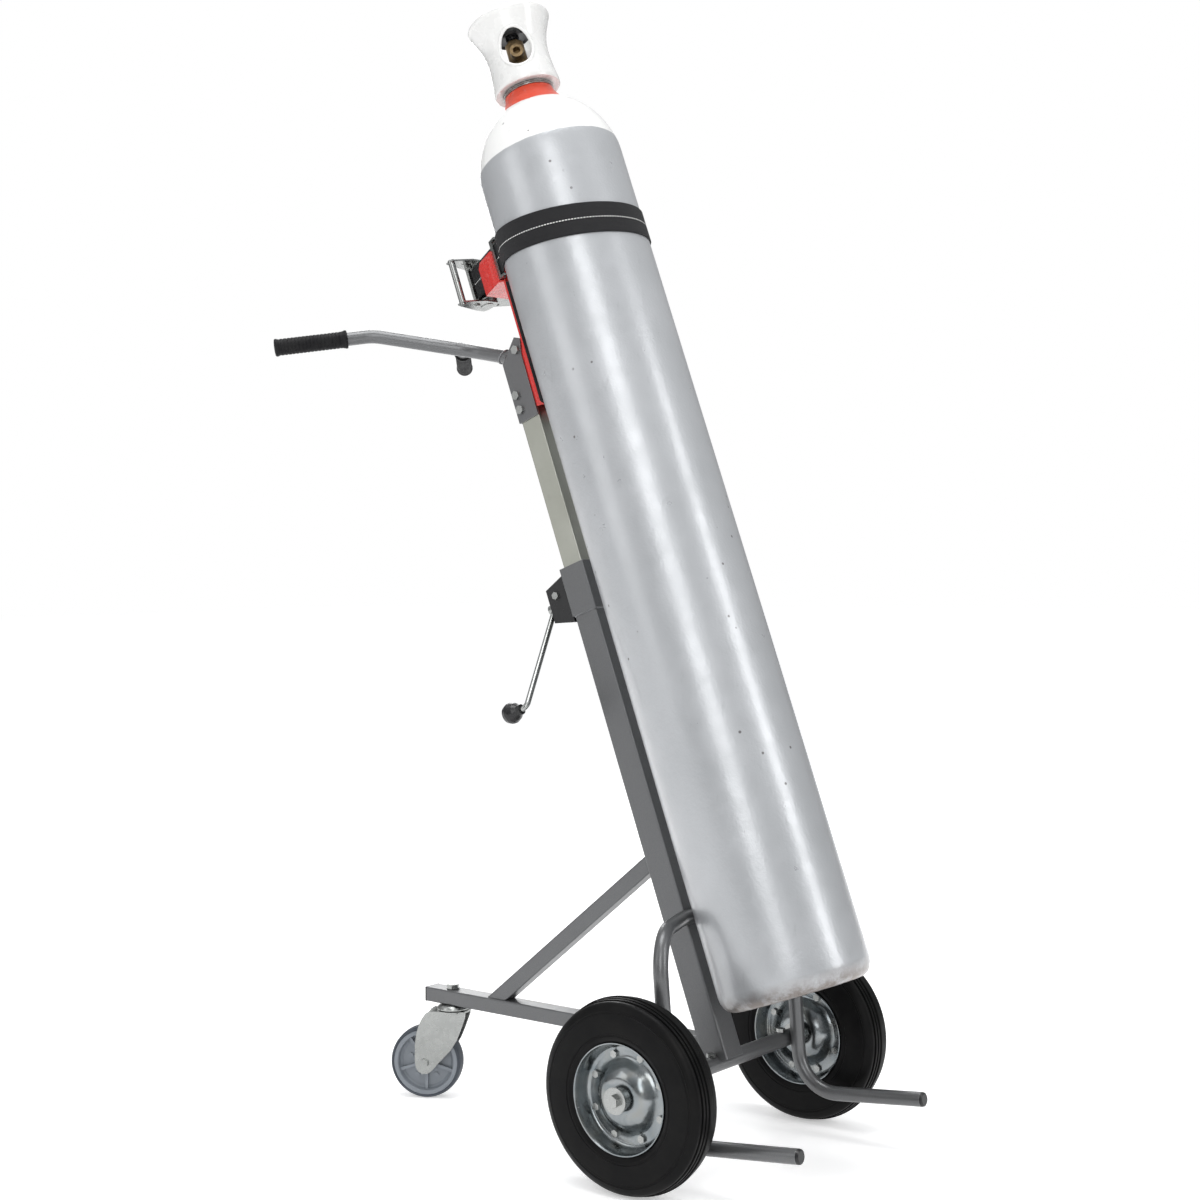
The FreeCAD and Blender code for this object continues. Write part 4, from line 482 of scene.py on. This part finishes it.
def join_rings(bm, rings):
    """Faces from each ring of vertices to the next, and from the last ring back to the first."""
    count = len(rings[0])
    for here, after in zip(rings, rings[1:] + rings[:1]):
        for n in range(count):
            m = (n + 1) % count
            bm.faces.new((here[n], after[n], after[m], here[m]))


def lathe(bm, outline, segments, shape=None):
    """Turns a closed outline of (radius, height) in mm about Z; shape may change each point by its angle."""
    rings = []
    for k in range(segments):
        angle = 2 * math.pi * k / segments
        ring = []
        for radius, height in outline:
            if shape:
                radius, height = shape(radius, height, angle)
            at = (radius * MM * math.cos(angle), radius * MM * math.sin(angle), height * MM)
            ring.append(bm.verts.new(at))
        rings.append(ring)
    join_rings(bm, rings)


def sweep(bm, path, frames, section):
    """Carries a section of (side, up) in mm round a closed path; frames gives each point's side and up."""
    rings = []
    for point, (side, up) in zip(path, frames):
        rings.append([bm.verts.new(point + (side * a + up * b) * MM) for a, b in section])
    join_rings(bm, rings)


def between(a, b, steps, bulge=0.0):
    """Points from a to b without the two ends, bowed outwards by bulge mm."""
    (ax, ay), (bx, by) = a, b
    length = math.hypot(bx - ax, by - ay)
    out = ((by - ay) / length, -(bx - ax) / length)
    points = []
    for k in range(1, steps):
        t = k / steps
        lift = 4 * bulge * t * (1 - t)
        points.append((ax + (bx - ax) * t + out[0] * lift, ay + (by - ay) * t + out[1] * lift))
    return points


def arc(centre, radius, start, turn, steps):
    """Points on a circle from a start angle through a turn, both in degrees."""
    angles = [math.radians(start + turn * k / steps) for k in range(steps + 1)]
    return [(centre[0] + radius * math.cos(angle), centre[1] + radius * math.sin(angle)) for angle in angles]


# ---------------------------------------------------------------- tyres and rims

TYRE_SEGMENTS = 160
TREAD_RIBS = (17.6, 11.9, 6.2)
CROWN_CURVE = 0.012

RIM_SEGMENTS = 128
EMBOSS_COUNT = 8
EMBOSS_HEIGHT = 1.6
EMBOSS_RADIUS = 46
EMBOSS_HALF_WIDTH = 9.0
EMBOSS_FROM = 0.45


def tyre_outline():
    """Half a tyre's section from the rim to the crown: a bulged wall with two ribs, then tread ribs."""
    wall = [(74.9, 14), (76.6, 22), (79.3, 24.9), (83, 27.0), (86.0, 28.4)]
    wall += [(88.0, 28.4), (88.6, 27.8), (90.6, 27.8), (91.2, 28.7)]
    wall += between((91.2, 28.7), (120, 27.4), 6, -0.5)
    wall += [(120, 27.4), (120.7, 26.6), (122.6, 26.5), (123.4, 27.1)]
    wall += [(128, 25.6), (132, 23.2), (134.6, 20.6)]
    tread = []
    for middle in TREAD_RIBS:
        drop = CROWN_CURVE * middle ** 2
        tread += [(138.7 - drop, middle + 1.9), (138.9 - drop, middle - 1.9)]
        tread += [(136.4 - drop, middle - 2.5), (136.4 - drop, middle - 3.3)]
    tread += [(139.9, 2.0), (140, 0)]
    return wall + tread


def make_tyres():
    half = tyre_outline()
    whole = half + [(radius, -height) for radius, height in reversed(half[:-1])]
    for side, sign in (("left", -1), ("right", 1)):
        outwards = Z_AXIS.rotation_difference(Vector((sign, 0, 0))).to_matrix().to_4x4()
        turn = Matrix.Translation(world(sign * TRACK_HALF, 0, AXLE_Z)) @ outwards
        bm = bmesh.new()
        lathe(bm, whole, TYRE_SEGMENTS)
        piece = finish_mesh(f"ribbed_tyre_{side}", bm, TYRE, f"wheel_{side}", turn)
        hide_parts(f"tyre_{side}")
        make_rim(side, turn)


def emboss(radius, height, angle):
    """Raises the panels between the rim's bolts."""
    wave = 0.5 + 0.5 * math.cos(EMBOSS_COUNT * angle)
    inside = max(0.0, 1 - abs(radius - EMBOSS_RADIUS) / EMBOSS_HALF_WIDTH)
    return radius, height + EMBOSS_HEIGHT * inside * max(0.0, wave - EMBOSS_FROM) / (1 - EMBOSS_FROM)


def emboss_inner_side(radius, height, angle):
    return radius, -emboss(radius, -height, angle)[1]


def make_rim(side, turn):
    """Both pressed rim halves: rolled flange, raised panels between the bolts, raised hub dish."""
    outline = [
        (79, 25.0), (79.4, 26.0), (79, 27.0), (77.4, 27.0), (76, 24.6), (74.6, 17), (73, 7.6), (71.4, 3.6),
        (69, 2.2), (66, 2.0), (61, 2.0), (55.5, 2.0), (52.5, 3.0), (48, 7.4), (44, 12.4), (41.0, 15.8),
        (38, 18.4), (34, 21.0), (29, 22.8), (24, 23.0), (16, 23.0), (16, 21.0), (24, 21.0), (29, 20.8),
        (33, 19.2), (37, 16.6), (40, 13.8), (46.4, 6.2), (51.2, 1.0), (54.8, 0.05), (69.6, 0.05),
        (72.6, 2.6), (74.4, 7.0), (75.4, 14),
    ]
    mirrored = [(radius, -height) for radius, height in reversed(outline)]
    bm = bmesh.new()
    lathe(bm, outline, RIM_SEGMENTS, emboss)
    lathe(bm, mirrored, RIM_SEGMENTS, emboss_inner_side)
    piece = finish_mesh(f"pressed_rim_{side}", bm, RIM, f"wheel_{side}", turn, 50)
    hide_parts(f"rim_{side}")


# ---------------------------------------------------------------- gas cylinder and neck ring

SHELL_SEGMENTS = 144
NECK_RING_SEGMENTS = 96
LONG_STRETCH = 500
LONG_STRETCH_ROWS = 60


def make_gas_cylinder():
    """The cylinder's shell with a dished, rounded foot, a domed shoulder and a concave neck."""
    outline = [
        (0.01, 84), (40, 80), (74, 72), (86, 66.6), (92, 66.1), (99, 67.4), (105.4, 71), (110.2, 76.6),
        (113.2, 84), (114.5, 94), (114.5, 1396), (114, 1404), (112.9, 1411), (111.5, 1417), (108.8, 1427),
        (105, 1438), (100.2, 1449), (94, 1460), (86.5, 1470.5), (77.5, 1480.5), (68.5, 1489), (61, 1495.5),
        (56.4, 1499.6), (51.6, 1504.4), (47.8, 1509), (44.6, 1514), (42.2, 1519), (40.6, 1523.6),
        (39.6, 1528), (12.6, 1528), (12.6, 1516), (0.01, 1516),
    ]
    dense = []
    for (r0, h0), (r1, h1) in zip(outline, outline[1:]):
        steps = LONG_STRETCH_ROWS if h1 - h0 > LONG_STRETCH else 1
        dense += [(r0 + (r1 - r0) * k / steps, h0 + (h1 - h0) * k / steps) for k in range(steps)]
    dense.append(outline[-1])
    bm = bmesh.new()
    lathe(bm, dense, SHELL_SEGMENTS)
    piece = finish_mesh("cylinder_shell", bm, CYLINDER_PAINT, "lift", CYLINDER, 50)
    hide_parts("gas_cylinder")


def make_neck_ring():
    """The threaded ring that the guard stands on."""
    outline = [
        (38.6, 1528.1), (41.2, 1528.6), (41.2, 1530.2), (40.2, 1530.8), (41.2, 1531.4), (41.2, 1533.4),
        (38.4, 1534), (36, 1535.4), (36, 1548), (14, 1548), (14, 1528.1),
    ]
    bm = bmesh.new()
    lathe(bm, outline, NECK_RING_SEGMENTS)
    piece = finish_mesh("threaded_neck_ring", bm, ZINC, "lift", CYLINDER, 30)
    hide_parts("neck_ring")


# ---------------------------------------------------------------- valve guard

GUARD_OUTSIDE = [
    (52.4, 1534.6), (53.6, 1536), (53.8, 1541), (52.8, 1548), (51.2, 1560), (50, 1575), (49.6, 1590),
    (50.4, 1603), (52.4, 1614), (55.6, 1625), (59.2, 1634), (62.4, 1641), (64, 1646), (65, 1648.6),
]
GUARD_LIP = [(66.6, 1650.2), (67.4, 1652.4), (66.8, 1654.8), (65, 1656), (62.8, 1655.4), (61.2, 1652.5)]
GUARD_INSIDE = [
    (60.6, 1646), (58.6, 1640), (55.4, 1632), (51.6, 1622), (48.4, 1611), (46.6, 1600), (46, 1590),
    (46.2, 1575), (46.2, 1553), (42, 1549), (36.1, 1549), (36.1, 1536.6), (42, 1535.2),
]
WINDOW_OUT = Vector((-0.8, -0.6, 0))
WINDOW_SIDE = Z_AXIS.cross(WINDOW_OUT)
WINDOW_UP = 1591
WINDOW_HALF_WIDE = 24.5
WINDOW_HALF_HIGH = 31.5
WINDOW_POINTS = 72
CUTTER_REACH = 90
BORDER_OFFSET = 1.6
BORDER_SECTION = [(-2.4, -1.6), (-2.2, 0.8), (-1.0, 1.7), (0.6, 1.6), (2.2, 0.7), (3.2, -0.6), (3.2, -1.6)]


def guard_radius(up):
    """The guard's outside radius at a height; the lowest one's outside the outline."""
    for (r0, h0), (r1, h1) in zip(GUARD_OUTSIDE, GUARD_OUTSIDE[1:]):
        if h0 <= up <= h1:
            return r0 + (r1 - r0) * (up - h0) / (h1 - h0)
    return GUARD_OUTSIDE[0][0]


def window_oval(offset):
    """A window's edge as (across, up), offset mm outside its opening."""
    wide, high = WINDOW_HALF_WIDE + offset, WINDOW_HALF_HIGH + offset
    angles = [2 * math.pi * k / WINDOW_POINTS for k in range(WINDOW_POINTS)]
    return [(wide * math.cos(angle), high * math.sin(angle)) for angle in angles]


def window_point(out, across, up):
    """A point in metres in the cylinder's axes, from its mm outwards, across and above a window's middle."""
    return (WINDOW_OUT * out + WINDOW_SIDE * across + Vector((0, 0, WINDOW_UP + up))) * MM


def window_tool():
    """An oval bar that goes through both windows."""
    bm = bmesh.new()
    back, front = (
        [bm.verts.new(window_point(reach, across, up)) for across, up in window_oval(0)]
        for reach in (-CUTTER_REACH, CUTTER_REACH)
    )
    bm.faces.new(back[::-1])
    bm.faces.new(front)
    for k in range(WINDOW_POINTS):
        m = (k + 1) % WINDOW_POINTS
        bm.faces.new((back[k], back[m], front[m], front[k]))
    bmesh.ops.recalc_face_normals(bm, faces=bm.faces)
    mesh = bpy.data.meshes.new("window_tool")
    bm.to_mesh(mesh)
    bm.free()
    mesh.transform(CYLINDER)
    tool = bpy.data.objects.new("window_tool", mesh)
    bpy.context.scene.collection.objects.link(tool)
    return tool


def cut_windows(guard):
    tool = window_tool()
    modifier = guard.modifiers.new("windows", "BOOLEAN")
    modifier.operation = "DIFFERENCE"
    modifier.solver = "EXACT"
    modifier.object = tool
    bpy.context.view_layer.update()
    opened = bpy.data.meshes.new_from_object(guard.evaluated_get(bpy.context.evaluated_depsgraph_get()))
    guard.modifiers.clear()
    guard.data = opened
    bpy.data.objects.remove(tool)


def make_window_borders():
    turn = CYLINDER.to_3x3()
    for number, sign in enumerate((1, -1)):
        path, frames = [], []
        for a, b in window_oval(BORDER_OFFSET):
            out = math.sqrt(max(1.0, guard_radius(WINDOW_UP + b) ** 2 - a * a))
            outward = (WINDOW_OUT * sign * out + WINDOW_SIDE * a).normalized()
            upward = Vector((0, 0, b / WINDOW_HALF_HIGH))
            ring_side = (WINDOW_SIDE * a / WINDOW_HALF_WIDE + upward).normalized()
            path.append(CYLINDER @ window_point(sign * out, a, b))
            frames.append((turn @ ring_side, turn @ outward))
        bm = bmesh.new()
        sweep(bm, path, frames, BORDER_SECTION)
        finish_mesh(f"window_border_{number}", bm, GUARD_WHITE, "lift", smooth=70)


def make_guard():
    """The cast valve guard: a waisted bell with a rolled lip and two oval windows with raised borders."""
    bm = bmesh.new()
    lathe(bm, GUARD_OUTSIDE + GUARD_LIP + GUARD_INSIDE, SHELL_SEGMENTS)
    guard = finish_mesh("cast_guard", bm, GUARD_WHITE, "lift", CYLINDER, 40)
    cut_windows(guard)
    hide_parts("valve_guard")
    make_window_borders()


# ---------------------------------------------------------------- the strap

RATCHET_UP = 1284
STRAP_GAP = 0.25
STRAP_LEAVES = 34.0
STRAP_BEND_Y = -90.0
STRAP_SLOPE = 0.156
SPOOL = (-10.0, 27.0)
SPOOL_RADIUS = 11.2
SPOOL_LEFT_AT = 156.4
ANCHOR = (54.0, 12.0)
ANCHOR_LOOP = 6.45
ANCHOR_HELD_UP = 0.3
ANCHOR_LOOP_FROM = 2
ANCHOR_LOOP_TURN = 330
STRAIGHT_STEPS = 12
SPOOL_STEPS = 25
ROUND_CYLINDER_STEPS = 120
ANCHOR_STEPS = 16
SELVEDGE = 3
EDGE_THICK = 0.4
SELVEDGE_THICK = 0.85
FLAT_THICK = 0.8


def strap_middle(y):
    """The strap's middle up along the mast, at a distance behind the mast's centre line."""
    return RATCHET_UP + min(0.0, (y - STRAP_BEND_Y)) * STRAP_SLOPE


def strap_route():
    """The strap's line in the mast's cross-section, from the spool's winding to the anchor's loop."""
    route = arc(SPOOL, SPOOL_RADIUS + STRAP_THICK / 2, SPOOL_LEFT_AT - 360, 360, SPOOL_STEPS)
    radius = CYLINDER_RADIUS + STRAP_GAP + STRAP_THICK / 2
    leave = math.radians(STRAP_LEAVES)
    left = (-radius * math.sin(leave), CYLINDER_Y + radius * math.cos(leave))
    route += between(route[-1], left, STRAIGHT_STEPS)
    turn = 2 * math.pi - 2 * leave
    for k in range(ROUND_CYLINDER_STEPS + 1):
        angle = leave + turn * k / ROUND_CYLINDER_STEPS
        route.append((-radius * math.sin(angle), CYLINDER_Y + radius * math.cos(angle)))
    held = (ANCHOR[0] + ANCHOR_LOOP, ANCHOR[1] + ANCHOR_HELD_UP)
    route += between(route[-1], held, STRAIGHT_STEPS)
    route += arc(ANCHOR, ANCHOR_LOOP, ANCHOR_LOOP_FROM, ANCHOR_LOOP_TURN, ANCHOR_STEPS)
    return route


def strap_section():
    """The webbing's section as (across, lift): thin round edges, thick selvedges and a flat middle."""
    half, thick = STRAP_WIDTH / 2, STRAP_THICK / 2
    flat_half = half - SELVEDGE
    top = [(-half, thick * EDGE_THICK), (-half + 1, thick * SELVEDGE_THICK)]
    top += [(-flat_half + 2 * flat_half * k / 8, thick * FLAT_THICK) for k in range(9)]
    top += [(half - 1, thick * SELVEDGE_THICK), (half, thick * EDGE_THICK)]
    under = [(across, -lift) for across, lift in reversed(top)]
    return under[-1:] + top + under[:-1]


def make_strap():
    """Webbing with thick selvedges; the weave follows its own length and width."""
    route, section = strap_route(), strap_section()
    bm = bmesh.new()
    uv = bm.loops.layers.uv.new("weave")
    rings, lengths, length = [], [], 0.0
    for k, (x, y) in enumerate(route):
        before, after = route[max(k - 1, 0)], route[min(k + 1, len(route) - 1)]
        ahead = Vector((after[0] - before[0], after[1] - before[1])).normalized()
        out = Vector((-ahead.y, ahead.x))
        if k:
            length += math.hypot(x - route[k - 1][0], y - route[k - 1][1])
        lengths.append(length)
        ring = []
        for across, lift in section:
            at = on_mast(x + out.x * lift, y + out.y * lift, strap_middle(y) + across)
            ring.append(bm.verts.new(at))
        rings.append(ring)
    count = len(section)
    for k in range(len(rings) - 1):
        for n in range(count):
            m = (n + 1) % count
            face = bm.faces.new((rings[k][n], rings[k + 1][n], rings[k + 1][m], rings[k][m]))
            corners = ((k, n), (k + 1, n), (k + 1, m), (k, m))
            for loop, (row, column) in zip(face.loops, corners):
                loop[uv].uv = (lengths[row] * MM, (section[column][0] + STRAP_WIDTH / 2) * MM)
    bm.faces.new(rings[0][::-1])
    bm.faces.new(rings[-1])
    piece = finish_mesh("strap_webbing", bm, WEBBING, "lift", smooth=60)
    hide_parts("strap")


# ---------------------------------------------------------------- grips

GRIP_SEGMENTS = 48
GRIP_DEPTH = 114
GRIP_RINGS = 17
GRIP_RINGS_FROM = 8
GRIP_RING_STEP = 6
HANDLE_BEND = (108, 601.5, 1263)
HANDLE_END = (226.6, 702.4, 1242.6)


def make_grips():
    """Hand grips with a flange, shallow rings and a domed end."""
    outline = [(11.05, 0), (14.7, 0), (15.0, 1), (15.0, 3.2), (14.4, 4.4)]
    for k in range(GRIP_RINGS):
        at = GRIP_RINGS_FROM + GRIP_RING_STEP * k
        outline += [(13.5, at), (13.55, at + 3.6), (12.9, at + 4.2), (12.9, at + 5.2)]
    outline += [(13.5, 111), (14.4, 113.4), (14.4, 115.6), (13.2, 117.3), (9, 118), (0.01, 118)]
    outline += [(0.01, GRIP_DEPTH), (11.05, GRIP_DEPTH)]
    bm = bmesh.new()
    for sign in (-1, 1):
        end, before = (world(sign * x, y, z) for x, y, z in (HANDLE_END, HANDLE_BEND))
        ahead = (end - before).normalized()
        start = end - ahead * GRIP_DEPTH * MM
        turn = Matrix.Translation(start) @ Z_AXIS.rotation_difference(ahead).to_matrix().to_4x4()
        part = bmesh.new()
        lathe(part, outline, GRIP_SEGMENTS)
        bmesh.ops.transform(part, matrix=turn, verts=part.verts)
        mesh = bpy.data.meshes.new("grip_part")
        part.to_mesh(mesh)
        part.free()
        bm.from_mesh(mesh)
        bpy.data.meshes.remove(mesh)
    piece = finish_mesh("ringed_grips", bm, GRIP, "lift", smooth=30)
    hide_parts("hand_grips")


# ---------------------------------------------------------------- welds

BEAD_SIDES = 8
BEAD_STEP = 3.0
BEAD_RIPPLE = 0.16
BEAD_RIPPLE_TURN = 2.1
BEAD_SLANT = Vector((0.31, 0.23, 0.92))

COLLAR_WELD_UP = 712.6
COLLAR_WELD_SIDE = 44.6
COLLAR_WELD_CORNER = 3.0
ARM_WELD_AT = (0, 29.6, 163.2)
ARM_WELD_HALF = (16.2, 12.2)
ARM_WELD_GAP = 0.6
ARM_WELD_SQUARENESS = 1.25
MAST_LEAN = 0.354
ARM_WELD_POINTS = 24
HANDLE_WELD_AT = (11.5, 403, 1221.6)
HANDLE_WELD_AHEAD = Vector((0, 0.9798, 0.2)).normalized()
HANDLE_WELD_RADIUS = 11.4
HANDLE_WELD_SLOPE = 0.42
HANDLE_WELD_POINTS = 36


def bead(name, points, thick, body):
    """A rippled weld bead along a closed line of points."""
    bm = bmesh.new()
    rings = []
    for k, point in enumerate(points):
        ahead = (points[(k + 1) % len(points)] - points[k - 1]).normalized()
        side = ahead.cross(BEAD_SLANT).normalized()
        up = ahead.cross(side)
        radius = thick * MM * (1 + BEAD_RIPPLE * math.sin(k * BEAD_RIPPLE_TURN))
        ring = []
        for n in range(BEAD_SIDES):
            angle = 2 * math.pi * n / BEAD_SIDES
            at = point + side * radius * math.cos(angle) + up * radius * math.sin(angle)
            ring.append(bm.verts.new(at))
        rings.append(ring)
    join_rings(bm, rings)
    return finish_mesh(name, bm, WELD, body, smooth=80)


def resample(points, step):
    """Points a step of mm apart along a closed line."""
    made = []
    for k, a in enumerate(points):
        b = points[(k + 1) % len(points)]
        pieces = max(1, round((b - a).length / (step * MM)))
        made += [a.lerp(b, n / pieces) for n in range(pieces)]
    return made


def square_ring(side, radius, up):
    """Points round a rounded square in a cross-section of the mast, side mm wide."""
    points = []
    half = side / 2
    for cx, cy, first in ((half, half, 0), (-half, half, 90), (-half, -half, 180), (half, -half, 270)):
        for k in range(7):
            angle = math.radians(first + 15 * k)
            corner_x = cx - math.copysign(radius, cx) + radius * math.cos(angle)
            corner_y = cy - math.copysign(radius, cy) + radius * math.sin(angle)
            points.append(on_mast(corner_x, corner_y, up))
    return resample(points, BEAD_STEP)


def arm_ring():
    """Points round the arm's front end, where it meets the leaning mast."""
    at_x, at_y, at_z = ARM_WELD_AT
    half_wide, half_high = ARM_WELD_HALF
    points = []
    for k in range(ARM_WELD_POINTS):
        angle = 2 * math.pi * k / ARM_WELD_POINTS
        x = half_wide * max(-1, min(1, ARM_WELD_SQUARENESS * math.cos(angle)))
        z = half_high * max(-1, min(1, ARM_WELD_SQUARENESS * math.sin(angle)))
        points.append(world(at_x + x, at_y + MAST_LEAN * z + ARM_WELD_GAP, at_z + z))
    return resample(points, BEAD_STEP)


def handle_ring(sign):
    """Points round a handle tube, where it meets the head bracket's slanted plate."""
    at_x, at_y, at_z = HANDLE_WELD_AT
    start, ahead = world(sign * at_x, at_y, at_z), HANDLE_WELD_AHEAD
    up = X_AXIS.cross(ahead)
    points = []
    for k in range(HANDLE_WELD_POINTS):
        angle = 2 * math.pi * k / HANDLE_WELD_POINTS
        across = X_AXIS * math.cos(angle) * HANDLE_WELD_RADIUS
        offset = across + up * math.sin(angle) * HANDLE_WELD_RADIUS
        back = ahead * math.sin(angle) * HANDLE_WELD_RADIUS * HANDLE_WELD_SLOPE
        points.append(start + (offset - back) * MM)
    return points


def make_welds():
    collar = square_ring(COLLAR_WELD_SIDE, COLLAR_WELD_CORNER, COLLAR_WELD_UP)
    bead("weld_collar", collar, 1.6, "chassis")
    bead("weld_arm", arm_ring(), 1.9, "chassis")
    for sign, tag in ((-1, "left"), (1, "right")):
        bead(f"weld_handle_{tag}", handle_ring(sign), 1.4, "lift")


# ---------------------------------------------------------------- stage

# Metres; the glow rises with the squared distance from the middle, in square metres.
FLOOR_SIZE = 60
FLOOR_GLOW_RISES = (0.4, 9.0)
FLOOR_GLOW = (0.40, 0.62)

# What shiny surfaces mirror gets brighter as it stands higher in the sky.
SKY_LIGHT = 0.42
SKY_HEIGHTS = (0.0, 0.8)
SKY_MIRRORED = (0.16, 0.85)

# Each light's name, place, width and height in metres, and power in watts.
LIGHTS_AIM = Vector((0, 0, 0.8))
LIGHTS = (
    ("key", (-3.4, -2.2, 2.6), 1.5, 3.4, 62),
    ("fill", (-3.4, 1.9, 2.0), 1.6, 2.6, 20),
    ("rim", (2.6, 2.8, 2.6), 1.2, 3.0, 45),
    ("front", (0.9, -4.0, 2.2), 1.0, 3.2, 55),
    ("top", (-0.4, 0.1, 4.4), 2.4, 2.4, 90),
)


def make_floor():
    """A pale floor that glows more further out, so that it ends in the white backdrop."""
    bpy.ops.mesh.primitive_plane_add(size=FLOOR_SIZE, location=(0, 0, 0))
    floor = bpy.context.object
    floor.name = "floor"
    s = Surface("floor_white", (0.9, 0.9, 0.9), 0.85, Emission_Color=(1, 1, 1, 1))
    s.color(s.mix(s.noise(3, 2), (0.895, 0.895, 0.895), (0.905, 0.905, 0.905)))
    across, back = s.along(X_AXIS), s.along(Y_AXIS)
    spread = s.math("ADD", s.times(across, across), s.times(back, back))
    glow = s.ramp(spread, *FLOOR_GLOW_RISES, *FLOOR_GLOW)
    s.link(glow, s.shader.inputs["Emission Strength"])
    floor.data.materials.append(s.material)


def make_world():
    """White past the floor for the camera, dimmer as light, and darker near the horizon in reflections."""
    sky = bpy.data.worlds.new("Studio")
    bpy.context.scene.world = sky
    sky.use_nodes = True
    tree = sky.node_tree

    def background(color, strength):
        made = tree.nodes.new("ShaderNodeBackground")
        made.inputs["Color"].default_value = (*color, 1)
        made.inputs["Strength"].default_value = strength
        return made

    def choose(ray, otherwise, when):
        made = tree.nodes.new("ShaderNodeMixShader")
        tree.links.new(seen.outputs[ray], made.inputs["Fac"])
        tree.links.new(otherwise.outputs[0], made.inputs[1])
        tree.links.new(when.outputs[0], made.inputs[2])
        return made

    seen = tree.nodes.new("ShaderNodeLightPath")
    place = tree.nodes.new("ShaderNodeTexCoord")
    parts = tree.nodes.new("ShaderNodeSeparateXYZ")
    tree.links.new(place.outputs["Generated"], parts.inputs["Vector"])
    height = tree.nodes.new("ShaderNodeMapRange")
    sockets = ("From Min", "From Max", "To Min", "To Max")
    for socket, value in zip(sockets, SKY_HEIGHTS + SKY_MIRRORED):
        height.inputs[socket].default_value = value
    tree.links.new(parts.outputs["Z"], height.inputs["Value"])
    light = background((0.97, 0.98, 1.0), SKY_LIGHT)
    mirrored = background((0.98, 0.99, 1.0), 1.0)
    tree.links.new(height.outputs["Result"], mirrored.inputs["Strength"])
    backdrop = background((1.0, 1.0, 1.0), 1.0)
    shown = choose("Is Camera Ray", choose("Is Glossy Ray", light, mirrored), backdrop)
    tree.links.new(shown.outputs[0], tree.nodes["World Output"].inputs["Surface"])


def add_light(name, at, wide, tall, power):
    data = bpy.data.lights.new(name, "AREA")
    data.shape = "RECTANGLE"
    data.size = wide
    data.size_y = tall
    data.energy = power
    light = bpy.data.objects.new(name, data)
    light.location = at
    light.visible_camera = False
    aim = LIGHTS_AIM - Vector(at)
    light.rotation_euler = aim.to_track_quat("-Z", "Y").to_euler()
    bpy.context.scene.collection.objects.link(light)


def make_stage():
    make_floor()
    make_world()
    bpy.context.scene.view_settings.view_transform = "Standard"
    for light in LIGHTS:
        add_light(*light)


make_camera()
dress_nodes()
make_tyres()
make_gas_cylinder()
make_neck_ring()
make_guard()
make_strap()
make_grips()
make_welds()
make_stage()
